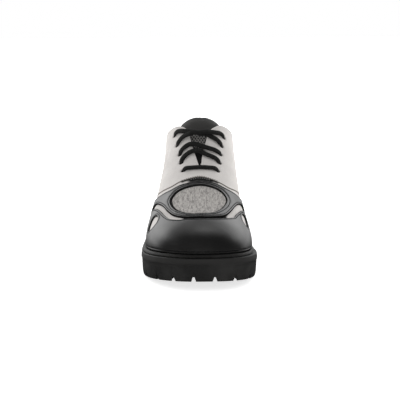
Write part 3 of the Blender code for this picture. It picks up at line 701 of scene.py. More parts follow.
@dataclass
class Patch:
    """A cut piece of skin: its points, triangles and each point's distance from the cut."""

    places: Array
    points: Array
    normals: Array
    faces: Numbers
    rim: Array
    loop: Numbers

    @property
    def cut(self) -> Flags:
        """Return which points lie on a cut line."""
        return self.rim == 0.0

    def eased(self, centre: Array, reach: float) -> "Patch":
        """Return the patch with a fold round a centre smoothed away.

        A cubic in x and d is fitted to the skin round the centre, and heights and normals go over to it by
        a bell of the distance.

        Args:
            centre: middle of the fold.
            reach: width of the bell.

        Returns:
            The smoother patch.
        """
        x, d = ((self.points - centre) / reach)[:, :2].T
        far = np.hypot(x, d)
        fitted = far < 2.6
        powers = [(i, j) for i in range(4) for j in range(4 - i)]
        terms = np.stack([x ** i * d ** j for i, j in powers], -1)
        weight = np.where(fitted, bell(far, 1.8), 0.0)[:, None]
        found = np.linalg.lstsq(terms * weight, self.points[:, 2] * weight[:, 0], rcond=None)[0]
        slope_x = sum(c * i * x ** max(i - 1, 0) * d ** j for c, (i, j) in zip(found, powers)) / reach
        slope_d = sum(c * j * x ** i * d ** max(j - 1, 0) for c, (i, j) in zip(found, powers)) / reach
        share = bell(far, 1.0)
        points = self.points.copy()
        points[:, 2] += share * (terms @ found - points[:, 2])
        smooth = unit(np.stack([-slope_x, -slope_d, np.ones_like(x)], -1))
        turned = unit(self.normals + share[:, None] * (smooth - self.normals))
        return replace(self, points=points, normals=np.where(fitted[:, None], turned, self.normals))

    def faces_where(self, chosen: Flags) -> Flags:
        """Return which triangles have all their corners among chosen points."""
        return chosen[self.faces].all(1)

    def shell(self, top: Array, under: Array) -> tuple[Array, Numbers, Numbers]:
        """Return a closed shell of two sheets that share the cut line.

        Args:
            top: lift of the outer sheet at each point.
            under: lift of the inner sheet at each point.

        Returns:
            Points, triangles (outer sheet first) and the patch point that each one comes from.
        """
        count = len(self.points)
        inner = np.flatnonzero(~self.cut)
        index = np.arange(count)
        index[inner] = count + np.arange(len(inner))
        outer_points = self.points + self.normals * top[:, None]
        inner_points = (self.points + self.normals * under[:, None])[inner]
        faces = np.vstack([self.faces, index[self.faces][:, ::-1]])
        return np.vstack([outer_points, inner_points]), faces, np.concatenate([np.arange(count), inner])


@dataclass
class Cutter:
    """Cuts patches out of the last's skin, triangulated in its flat chart."""

    last: Last
    spacing: float = 1.7
    followed: float = 1.2
    seam_clear: float = 4.2

    @cached_property
    def fill(self) -> Array:
        """Return the places that fill patches."""
        return self.last.lattice(self.spacing)

    def into(self, line: Array, border: bool) -> float:
        """Return the side of a cut line on which the piece lies.

        Args:
            line: places along the closed line.
            border: whether it is the piece's border, not a window.

        Returns:
            1 for the left, -1 for the right.
        """
        tested = self.last.chart(self.last.offset(line, 0.6, True))
        within = inside(tested, self.last.chart(line)).mean() > 0.5
        return 1.0 if within == border else -1.0

    def cut(self, border: Rim, windows: Sequence[Rim] = (), seams: Sequence[Rim] = ()) -> Patch:
        """Return the skin inside a border and outside windows.

        Points follow every cut line in rings and fill the rest in an even lattice; the triangles are the
        Delaunay ones of the flat chart, kept to the cut lines.

        Args:
            border: outer cut line.
            windows: cut lines of the openings.
            seams: lines inside the piece that points have to follow.

        Returns:
            The cut patch.
        """
        last = self.last
        loops = [border, *windows]
        cut_points = last.surface(np.vstack([loop.line for loop in loops]))
        fill = self.fill[self.within(last.chart(self.fill), loops)]
        fill_points = last.surface(fill)
        far = np.ones(len(fill), bool)
        places, rims, edges, total = [], [], [], 0
        for number, rim in enumerate([*loops, *seams]):
            closed = number < len(loops)
            side = self.into(rim.line, number == 0) if closed else 1.0
            far &= nearest(fill_points, last.surface(rim.line))[0] > max(rim.rings) + 0.5 * self.spacing
            for distance in (0.0, *rim.rings) if closed else rim.rings:
                ring = last.offset(rim.line, side * distance, closed) if distance else rim.line
                near = nearest(last.surface(ring), cut_points)[0]
                if not closed:
                    good = (near > self.seam_clear) & inside(last.chart(ring), last.chart(border.line))
                elif distance:
                    good = (near > 0.9 * distance) & self.within(last.chart(ring), loops)
                else:
                    good = np.ones(len(ring), bool)
                if distance <= self.followed or not closed:
                    index = np.where(good, total + np.cumsum(good) - 1, -1)
                    pair = np.column_stack([index, np.roll(index, -1)])[:None if closed else -1]
                    edges.append(pair[(pair >= 0).all(1)])
                places.append(ring[good])
                rims.append(np.full(good.sum(), distance) if closed else near[good])
                total += good.sum()
        rims.append(nearest(fill_points[far], cut_points)[0])
        places.append(fill[far])
        return self.triangulate(np.vstack(places), np.concatenate(rims), np.vstack(edges), loops)

    def within(self, flat: Array, loops: Sequence[Rim]) -> Flags:
        """Return which points of the chart lie on the piece.

        Args:
            flat: points of the chart.
            loops: the piece's border, then its windows.

        Returns:
            A flag for each point.
        """
        found = inside(flat, self.last.chart(loops[0].line))
        for hole in loops[1:]:
            found &= ~inside(flat, self.last.chart(hole.line))
        return found

    def join(self, flat: Array, edges: Numbers, rim: Array) -> tuple:
        """Return the Delaunay triangles of flat points, without ring edges that cross another edge.

        Args:
            flat: points of the chart.
            edges: pairs of points to be joined.
            rim: each point's distance from the cut, 0 on it.

        Returns:
            The lists of mathutils.geometry.delaunay_2d_cdt.
        """
        while True:
            found = delaunay_2d_cdt(flat.tolist(), edges.tolist(), [], 0, 1e-7)
            new = np.array([not source for source in found[3]])
            touched = new[np.array(found[1])].any(1)
            crossed = {number for index in np.flatnonzero(touched) for number in found[4][index]}
            loose = [number for number in sorted(crossed) if rim[edges[number]].max() > 0.0]
            if not loose:
                return found
            edges = np.delete(edges, loose, 0)

    def triangulate(self, places: Array, rim: Array, edges: Numbers, loops: Sequence[Rim]) -> Patch:
        """Return the patch of places, without triangles that bridge a bend of a cut line.

        Args:
            places: rows of (s, v).
            rim: each place's distance from the cut.
            edges: pairs of places to be joined.
            loops: the piece's border, then its windows.

        Returns:
            The patch.
        """
        last = self.last
        flat = last.chart(places)
        found = self.join(flat, edges, rim)
        origin = np.array([source[0] if source else -1 for source in found[3]])
        faces = origin[np.array(found[2])]
        faces = faces[(faces >= 0).all(1)]
        doubtful = np.flatnonzero((rim == 0.0)[faces].all(1))
        good = self.within(flat[faces[doubtful]].mean(1), loops)
        faces = np.delete(faces, doubtful[~good], 0)
        a, b, c = (flat[faces[:, k]] for k in range(3))
        turn = (b[:, 0] - a[:, 0]) * (c[:, 1] - a[:, 1]) - (b[:, 1] - a[:, 1]) * (c[:, 0] - a[:, 0])
        faces = np.where(turn[:, None] < 0.0, faces[:, ::-1], faces)[np.abs(turn) > 1e-9]
        points = last.surface(places)
        number = np.repeat(np.arange(len(loops)), [len(loop.line) for loop in loops])
        near = nearest(points, last.surface(np.vstack([loop.line for loop in loops])))[1]
        return Patch(places, points, last.normal(places), faces, rim, number[near])


def edge_round(rim: Array, radius: float, power: float = 2.2) -> Array:
    """Return 0 at a cut, rising to 1 at radius in a rounded quarter: (1 - (1 - r)^p)^(1/p)."""
    r = np.clip(rim / radius, 0.0, 1.0)
    return (1.0 - (1.0 - r) ** power) ** (1.0 / power)


def add_piece(name: str, points: Array, faces: Sequence[Sequence[int]], finishes: Sequence[Material],
              values: dict[str, Array] | None = None, finish_of: Array | None = None,
              merge: bool = False) -> Object:
    """Add a smooth mesh piece that rides on the shoe.

    Args:
        name: name of the piece.
        points: rows of points in metres.
        faces: corner numbers of each face.
        finishes: materials, in slot order.
        values: point attributes, by name.
        finish_of: material number of each face.
        merge: whether touching points are merged and normals worked out again.

    Returns:
        The new object.
    """
    mesh = bpy.data.meshes.new(name)
    corners = faces.tolist() if isinstance(faces, np.ndarray) else faces
    mesh.from_pydata(np.asarray(points, float).tolist(), [], corners)
    for key, value in (values or {}).items():
        mesh.attributes.new(key, "FLOAT", "POINT").data.foreach_set("value", np.asarray(value, np.float32))
    if finish_of is not None:
        mesh.polygons.foreach_set("material_index", np.asarray(finish_of, np.int32))
    if merge:
        work = bmesh.new()
        work.from_mesh(mesh)
        bmesh.ops.remove_doubles(work, verts=work.verts, dist=2e-6)
        bmesh.ops.recalc_face_normals(work, faces=work.faces)
        work.to_mesh(mesh)
        work.free()
    mesh.validate()
    mesh.polygons.foreach_set("use_smooth", np.ones(len(mesh.polygons), bool))
    for finish in finishes:
        mesh.materials.append(finish)
    made = bpy.data.objects.new(name, mesh)
    bpy.context.scene.collection.objects.link(made)
    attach(made, BODY)
    LOG.info("%s: %d points, %d faces", name, len(mesh.vertices), len(mesh.polygons))
    return made


def grid_faces(rows: int, columns: int, wrap: bool, start: int = 0) -> Numbers:
    """Return quads of a grid of points, row by row.

    Args:
        rows: number of rows.
        columns: number of points in a row.
        wrap: whether each row closes on itself.
        start: number of the first point.

    Returns:
        Rows of four corner numbers.
    """
    r, c = np.meshgrid(np.arange(rows - 1), np.arange(columns if wrap else columns - 1), indexing="ij")
    n = (c + 1) % columns
    quads = np.stack([r * columns + c, r * columns + n, (r + 1) * columns + n, (r + 1) * columns + c], -1)
    return quads.reshape(-1, 4) + start


class Nodes:
    """A node tree being put together."""

    def __init__(self, tree: bpy.types.NodeTree) -> None:
        """Take the tree that the nodes go into."""
        self.tree = tree

    def add(self, kind: str, settings: dict | None = None, **inputs: object) -> bpy.types.Node:
        """Return a new node.

        Args:
            kind: node type after the ShaderNode prefix.
            settings: node properties.
            inputs: socket values or links, by socket name with _ for a space, or in0, in1 for a number.

        Returns:
            The node.
        """
        node = self.tree.nodes.new("ShaderNode" + kind)
        for key, value in (settings or {}).items():
            setattr(node, key, value)
        for key, value in inputs.items():
            numbered = key[:2] == "in" and key[2:].isdigit()
            self.put(node.inputs[int(key[2:]) if numbered else key.replace("_", " ")], value)
        return node

    def put(self, socket: Socket, value: object) -> None:
        """Set a socket to a value, or link an output to it."""
        if isinstance(value, Socket):
            self.tree.links.new(value, socket)
        else:
            socket.default_value = value

    def math(self, operation: str, a: object, b: object = 0.0, c: object = 0.0) -> Socket:
        """Return the result of a math node."""
        return self.add("Math", {"operation": operation}, in0=a, in1=b, in2=c).outputs[0]

    def ramp(self, value: object, low: float, high: float, start: float = 0.0, end: float = 1.0) -> Socket:
        """Return a value mapped smoothly from low..high to start..end."""
        limits = {"in1": low, "in2": high, "in3": start, "in4": end}
        return self.add("MapRange", {"interpolation_type": "SMOOTHSTEP"}, in0=value, **limits).outputs[0]

    def mix(self, share: object, a: object, b: object) -> Socket:
        """Return colour a changing to colour b by share."""
        return self.add("Mix", {"data_type": "RGBA"}, in0=share, in6=a, in7=b).outputs[2]


class Shader(Nodes):
    """A node material being put together round its Principled shader."""

    def __init__(self, name: str) -> None:
        """Start a material with an empty surface."""
        self.material = bpy.data.materials.new(name)
        self.material.use_nodes = True
        super().__init__(self.material.node_tree)
        self.surface = self.tree.nodes["Principled BSDF"]
        self.object = self.add("TexCoord").outputs["Object"]

    def set(self, **inputs: object) -> None:
        """Set sockets of the Principled shader."""
        for key, value in inputs.items():
            self.put(self.surface.inputs[key.replace("_", " ")], value)

    def value(self, name: str) -> Socket:
        """Return a point attribute of the piece."""
        return self.add("Attribute", {"attribute_name": name}).outputs["Fac"]

    def scaled(self, scale: Point, turn: float = 0.0) -> Socket:
        """Return object coordinates times a scale, turned about the vertical."""
        rotation = (0.0, 0.0, turn)
        return self.add("Mapping", None, Vector=self.object, Scale=scale, Rotation=rotation).outputs[0]

    def noise(self, scale: float, detail: float = 2.0, at: Socket | None = None) -> Socket:
        """Return noise with a number of cells a metre."""
        return self.add("TexNoise", None, Vector=at or self.object, Scale=scale, Detail=detail).outputs["Fac"]

    def waves(self, scale: float, direction: str, at: Socket, distortion: float = 0.0) -> Socket:
        """Return bands across a direction of the coordinates."""
        return self.add("TexWave", {"bands_direction": direction}, Vector=at, Scale=scale,
                        Distortion=distortion).outputs["Fac"]

    def cells(self, scale: float, at: Socket | None = None) -> Socket:
        """Return the distance to the middle of rounded cells."""
        return self.add("TexVoronoi", {"feature": "SMOOTH_F1"}, Vector=at or self.object, Scale=scale,
                        Smoothness=0.6).outputs["Distance"]

    def band(self, value: object, middle: float, half: float, soft: float) -> Socket:
        """Return 1 where a value is within half of a middle, falling to 0 over soft."""
        away = self.math("ABSOLUTE", self.math("SUBTRACT", value, middle))
        return self.ramp(away, half, half + soft, 1.0, 0.0)

    def bump(self, height: Socket, depth: float, strength: float = 1.0,
             under: Socket | None = None) -> Socket:
        """Return normals bumped by a height of 0 to 1 that stands for a depth in metres."""
        lower = {} if under is None else {"Normal": under}
        return self.add("Bump", None, Strength=strength, Distance=depth, Height=height, **lower).outputs[0]


def grey(level: float, warm: float = 0.0) -> Colour:
    """Return a linear grey, a little warm."""
    return (level * (1.0 + warm), level, level * (1.0 - warm), 1.0)


@dataclass(frozen=True)
class Finish:
    """A finish that becomes a node material of its name."""

    name: str

    def paint(self, shader: Shader) -> None:
        """Set the sockets of a new material; every finish has its own way."""
        raise NotImplementedError

    def material(self) -> Material:
        """Return the finish as a node material."""
        shader = Shader(self.name)
        self.paint(shader)
        return shader.material


@dataclass(frozen=True)
class Nubuck(Finish):
    """White nubuck: nap, faint mottling, dark seam, painted shade at edges and by the panels, black strip."""

    name: str = "white_nubuck"
    light: Colour = (0.66, 0.635, 0.615, 1.0)
    shade: Colour = (0.62, 0.595, 0.575, 1.0)
    hollow: Colour = (0.30, 0.285, 0.27, 1.0)
    seam: Colour = (0.19, 0.175, 0.16, 1.0)
    # Tone of the painted shade at cut edges and eyelet holes.
    edge: Colour = (0.10, 0.095, 0.09, 1.0)
    # Tone of the painted black: a black strip, and painted shade between cap and band and above the welt.
    dark: Colour = (0.006, 0.006, 0.0057, 1.0)

    def paint(self, shader: Shader) -> None:
        """Paint mottling and nap, then seam, painted shade at the edges, and the black strip and painted
        shade.

        Args:
            shader: the material to paint.
        """
        mottle = shader.noise(60.0, 3.0)
        nap = shader.noise(900.0, 2.0)
        tone = shader.mix(shader.ramp(mottle, 0.35, 0.68), self.shade, self.light)
        tone = shader.mix(shader.ramp(nap, 0.30, 0.52, 0.16, 0.0), tone, self.hollow)
        tone = shader.mix(shader.band(shader.value("quarter"), -0.15, 0.45, 0.45), tone, self.seam)
        # Painted shade: the nubuck darkens to the edge tone near its cut edges and in the eyelet holes, where
        # the rim rolls away from the light.
        tone = shader.mix(shader.ramp(shader.value("rim"), 0.15, 0.55, 0.75, 0.0), tone, self.edge)
        # Black where painted: a black strip below the throat, and painted shade between cap and band and
        # above the welt.
        tone = shader.mix(shader.value("black_strip_and_shade"), tone, self.dark)
        shader.set(Base_Color=tone, Roughness=0.85, Specular_IOR_Level=0.10, Sheen_Weight=0.03,
                   Sheen_Roughness=0.5, Normal=shader.bump(nap, 0.00025, 0.5))


@dataclass(frozen=True)
class Leather(Finish):
    """Black leather: fine pebbled grain, semi-gloss, a little worn."""

    name: str = "black_leather_panel"
    colour: Colour = (0.0085, 0.0084, 0.0083, 1.0)
    worn: Colour = (0.013, 0.0128, 0.0125, 1.0)
    roughness: float = 0.33
    specular: float = 0.7

    def paint(self, shader: Shader) -> None:
        """Paint broad wear over two sizes of grain.

        Args:
            shader: the material to paint.
        """
        grain = shader.cells(900.0)
        broad = shader.noise(45.0, 3.0)
        fine = shader.noise(2200.0, 1.0)
        tone = shader.mix(shader.ramp(broad, 0.35, 0.7), self.colour, self.worn)
        gloss = shader.ramp(broad, 0.3, 0.75, self.roughness - 0.04, self.roughness + 0.05)
        shape = shader.bump(grain, 0.00012, 0.35, shader.bump(fine, 0.00006, 0.25))
        shader.set(Base_Color=tone, Roughness=gloss, Specular_IOR_Level=self.specular, Normal=shape)


@dataclass(frozen=True)
class Mottled(Finish):
    """A matt finish of two tones, mixed and bumped by one fine noise: dyed cut edges with painted shade,
    lining or thread.
    """

    colour: Colour
    second: Colour
    cells: float
    detail: float
    low: float
    high: float
    roughness: float
    specular: float
    depth: float
    strength: float

    def paint(self, shader: Shader) -> None:
        """Paint both tones by the noise.

        Args:
            shader: the material to paint.
        """
        fibre = shader.noise(self.cells, self.detail)
        tone = shader.mix(shader.ramp(fibre, self.low, self.high), self.colour, self.second)
        shader.set(Base_Color=tone, Roughness=self.roughness, Specular_IOR_Level=self.specular,
                   Normal=shader.bump(fibre, self.depth, self.strength))


# Near black for cut edges and stitch furrows of the panels: partly dyed edge, partly painted shade in the
# furrows and where edges turn from the light.
EDGE_INK_AND_SHADE = Mottled("edge_ink_and_shade", (0.006, 0.006, 0.006, 1.0), (0.013, 0.013, 0.0125, 1.0), cells=1100.0,
                   detail=2.0, low=0.4, high=0.65, roughness=0.85, specular=0.08, depth=0.0001, strength=0.4)
LINING = Mottled("dark_lining", (0.016, 0.016, 0.0155, 1.0), (0.036, 0.035, 0.034, 1.0), cells=1300.0,
                 detail=2.0, low=0.4, high=0.65, roughness=0.9, specular=0.2, depth=0.0002, strength=0.5)
BLACK_THREAD = Mottled("black_thread", grey(0.004), grey(0.008), cells=2600.0, detail=1.0, low=0.35,
                       high=0.65, roughness=0.6, specular=0.08, depth=0.0001, strength=0.4)
WHITE_THREAD = replace(BLACK_THREAD, name="white_thread", colour=grey(0.42, 0.02), second=grey(0.55, 0.02),
                       specular=0.3)


@dataclass(frozen=True)
class Rubber(Finish):
    """Black moulded rubber: matt, a fine mould grain, dusty patches and a painted highlight on the rand."""

    name: str = "black_rubber_sole"
    colour: Colour = (0.0115, 0.0113, 0.0108, 1.0)
    dusty: Colour = (0.021, 0.0205, 0.0195, 1.0)
    speck: Colour = (0.035, 0.034, 0.032, 1.0)
    rand_highlight: Colour = (0.021, 0.0203, 0.0193, 1.0)
    roughness: float = 0.56

    def paint(self, shader: Shader) -> None:
        """Paint dust in patches and specks, and a painted highlight on the rand.

        Args:
            shader: the material to paint.
        """
        patch = shader.noise(38.0, 4.0)
        grain = shader.noise(1500.0, 2.0)
        tone = shader.mix(shader.ramp(patch, 0.4, 0.72), self.colour, self.dusty)
        tone = shader.mix(shader.ramp(grain, 0.55, 0.75, 0.0, 0.35), tone, self.speck)
        # Painted highlight: the rand is lighter where its face turns up to the light.
        tone = shader.mix(shader.value("rand"), tone, self.rand_highlight)
        shader.set(Base_Color=tone, Roughness=self.roughness, Specular_IOR_Level=0.4,
                   Normal=shader.bump(grain, 0.00012, 0.5))


@dataclass(frozen=True)
class Textile(Finish):
    """Heathered grey cloth: pale and dark fibres in streaks along the foot, in a plain weave."""

    name: str = "heather_cloth"
    pale: Colour = (0.48, 0.458, 0.436, 1.0)
    deep: Colour = (0.20, 0.19, 0.182, 1.0)
    threads: float = 170.0

    def paint(self, shader: Shader) -> None:
        """Paint streaks and flecks over a weave of two sets of bands.

        Args:
            shader: the material to paint.
        """
        streak = shader.noise(1.0, 3.0, shader.scaled((800.0, 190.0, 190.0)))
        fleck = shader.noise(1.0, 2.0, shader.scaled((1300.0, 800.0, 800.0)))
        blend = shader.math("MULTIPLY_ADD", streak, 0.55, shader.math("MULTIPLY", fleck, 0.45))
        tone = shader.mix(shader.ramp(blend, 0.36, 0.62), self.deep, self.pale)
        warp, weft = (shader.waves(self.threads, way, shader.object, 0.6) for way in ("X", "Y"))
        weave = shader.math("MULTIPLY", warp, weft)
        shader.set(Base_Color=tone, Roughness=0.92, Specular_IOR_Level=0.15, Sheen_Weight=0.15,
                   Normal=shader.bump(weave, 0.0003, 0.5, shader.bump(fleck, 0.0002, 0.4)))


@dataclass(frozen=True)
class Cord(Finish):
    """Black woven lace: a herringbone of strands across a flat cord."""

    name: str = "woven_lace"
    colour: Colour = (0.006, 0.006, 0.0056, 1.0)
    worn: Colour = (0.016, 0.016, 0.015, 1.0)

    def paint(self, shader: Shader) -> None:
        """Paint strands: sin(4.2 along + 5 |across|), in millimetres.

        Args:
            shader: the material to paint.
        """
        across = shader.math("MULTIPLY", shader.math("ABSOLUTE", shader.value("across")), 5.0)
        slant = shader.math("ADD", shader.math("MULTIPLY", shader.value("along"), 4.2), across)
        strand = shader.math("MULTIPLY_ADD", shader.math("SINE", slant), 0.5, 0.5)
        shader.set(Base_Color=shader.mix(strand, self.colour, self.worn), Roughness=0.78,
                   Specular_IOR_Level=0.2, Normal=shader.bump(strand, 0.0003, 0.6))


@dataclass(frozen=True)
class TongueFinish(Finish):
    """The tongue: smooth leather at its top, open mesh in the throat, painted dark low down as shade."""

    name: str = "tongue_leather_and_mesh"
    leather: Colour = (0.046, 0.045, 0.043, 1.0)
    strand: Colour = (0.27, 0.262, 0.25, 1.0)
    gap_and_shade: Colour = (0.010, 0.010, 0.010, 1.0)
    strands: float = 150.0

    def paint(self, shader: Shader) -> None:
        """Paint a net of two slanting sets of bands, and leather above it; low in the throat, painted shade.

        Args:
            shader: the material to paint.
        """
        slants = [shader.scaled((1.0, 0.75, 1.0), turn) for turn in (0.25 * math.pi, -0.25 * math.pi)]
        net = shader.math("MAXIMUM", *(shader.waves(self.strands, "X", slant) for slant in slants))
        # Painted shade: low in the throat the net gives way to the dark tone, by the tongue's mesh value.
        strands_out_of_shade = shader.math("MULTIPLY", shader.ramp(net, 0.6, 0.92), shader.value("mesh"))
        mesh = shader.mix(strands_out_of_shade, self.gap_and_shade, self.strand)
        top = shader.value("leather")
        height = shader.mix(top, net, shader.cells(850.0))
        shader.set(Base_Color=shader.mix(top, mesh, self.leather), Specular_IOR_Level=0.45,
                   Roughness=shader.ramp(top, 0.0, 1.0, 0.85, 0.50), Normal=shader.bump(height, 0.0002, 0.4))


@dataclass
class Stitcher:
    """Lays rows of stitches: short capsules along a line on the skin."""

    last: Last
    pitch: float = 2.7
    length: float = 2.0
    radius: float = 0.36
    rings: int = 6
    corners: int = 6

    def row(self, line: Array, lift: float) -> Array:
        """Return the points of a row of stitches, by stitch and point.

        A stitch is a capsule: its radius along it goes by sqrt(1 - t^4), t from -1 to 1, its ends dip
        into the skin by t^2, and small flat faces close them.

        Args:
            line: places along the row, close together.
            lift: height of the thread's middle above the skin.

        Returns:
            Points by stitch, and by ring and corner.
        """
        normals = self.last.normal(line)
        points = self.last.surface(line) + lift * normals
        length = run_length(points)
        middle = np.arange(0.5 * self.pitch, length[-1], self.pitch)
        centre = interp_rows(middle, length, points)
        along = unit(interp_rows(middle + 0.5, length, points) - interp_rows(middle - 0.5, length, points))
        up = unit(interp_rows(middle, length, normals))
        t = np.linspace(-1.0, 1.0, self.rings)
        thick = self.radius * np.sqrt(np.maximum(1.0 - t ** 4, 0.02))[:, None]
        turn = 2.0 * math.pi * np.arange(self.corners) / self.corners
        dip = -0.35 * self.radius * t[:, None] ** 2
        along_part = (0.5 * self.length * t)[None, :, None, None] * along[:, None, None, :]
        up_part = (dip + thick * np.sin(turn))[None, :, :, None] * up[:, None, None, :]
        side_part = (thick * np.cos(turn))[None, :, :, None] * np.cross(along, up)[:, None, None, :]
        return (centre[:, None, None, :] + along_part + up_part + side_part).reshape(len(middle), -1, 3)

    def sew(self, name: str, rows: Sequence[Array], finish: Material) -> Object:
        """Add rows of stitches as one piece.

        Args:
            name: name of the piece.
            rows: points of each row, by stitch.
            finish: material of the thread.

        Returns:
            The new object.
        """
        points = np.vstack(rows)
        per = self.rings * self.corners
        quads = grid_faces(self.rings, self.corners, True)[:, ::-1]
        faces = (np.arange(len(points))[:, None, None] * per + quads[None]).reshape(-1, 4).tolist()
        first = np.arange(len(points))[:, None] * per
        ends = np.arange(self.corners)[None, :]
        faces += (first + ends).tolist() + (first + per - self.corners + ends[:, ::-1]).tolist()
        return add_piece(name, self.last.world(points.reshape(-1, 3)), faces, [finish])


@dataclass
class Panel:
    """A leather or cloth panel laid on the upper: rounded cut edges and a stitch furrow, darkened with dye
    and painted shade.
    """

    name: str
    border: Array
    windows: Sequence[Array] = ()
    base: float = 0.06
    thick: float = 1.5
    edge_radius: float = 0.8
    # Width of the dark band at the cut edge: dyed edge with painted shade where the edge turns from the
    # light.
    dark_edge: float = 0.8
    furrow: float = 2.2
    furrow_half: float = 0.3
    furrow_wide: float = 0.42
    furrow_depth: float = 0.4
    # Painted shade: a wider dark ring round each window, wider on the lateral side, where the window's wall
    # lies in shade.
    window_shade: float = 0.8
    window_furrow: float = 2.2
    window_shade_bias: float = 0.0
    window_half: float = 27.0
    fold: Array | None = None
    fold_reach: float = 7.0
    rings: tuple[float, ...] = (0.05, 0.2, 0.45, 0.8, 1.2, 1.6, 1.9, 2.2, 2.5, 2.9, 3.3, 3.6, 3.9, 4.3)

    def build(self, cutter: Cutter, finish: Material, ink_and_shade: Material, slot: Slot) -> Object:
        """Add the panel in place of the solid of its name.

        Its top stands off the skin by base + thick * round(r) - furrow, r the distance from its edge. The
        cut edge and the furrow are darkened: dyed at the cut, painted shade in the furrow and round windows.

        Args:
            cutter: cutter of the last's skin.
            finish: material of the panel.
            ink_and_shade: material of its darkened cut edges and furrows: dyed edges and painted shade.
            slot: the record's finish; not used.

        Returns:
            The new object.
        """
        patch = cutter.cut(Rim(self.border, self.rings), [Rim(line, self.rings) for line in self.windows])
        if self.fold is not None:
            patch = patch.eased(self.fold, self.fold_reach)
        window = patch.loop > 0
        furrow = np.where(window, self.window_furrow, self.furrow)
        top = self.base + self.thick * edge_round(patch.rim, self.edge_radius)
        top -= self.furrow_depth * bell(patch.rim - furrow, self.furrow_wide)
        points, faces, _ = patch.shell(top, np.full(len(top), self.base))
        # Painted shade: faces in the dark band at a cut edge and in the stitch furrow take the dark edge
        # material.
        slack = 0.02
        across = patch.points[:, 0] / self.window_half
        dark_edge = np.where(window, self.window_shade - self.window_shade_bias * across, self.dark_edge)
        dark = patch.faces_where(patch.rim <= dark_edge + slack)
        dark |= patch.faces_where(np.abs(patch.rim - furrow) <= self.furrow_half + slack)
        finish_of = np.concatenate([dark, np.ones(len(dark), bool)])
        made = add_piece(self.name, cutter.last.world(points), faces, [finish, ink_and_shade],
                         finish_of=finish_of)
        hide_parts(self.name)
        return made

    def stitch_lines(self, cutter: Cutter) -> list[Array]:
        """Return the lines of the stitch rows, in the furrow inside every edge.

        Args:
            cutter: cutter of the last's skin.

        Returns:
            Rows of places, closed by their first place.
        """
        lines = []
        for number, line in enumerate([self.border, *self.windows]):
            furrow = self.window_furrow if number else self.furrow
            row = cutter.last.offset(line, cutter.into(line, number == 0) * furrow, True)
            lines.append(np.vstack([row, row[:1]]))
        return lines


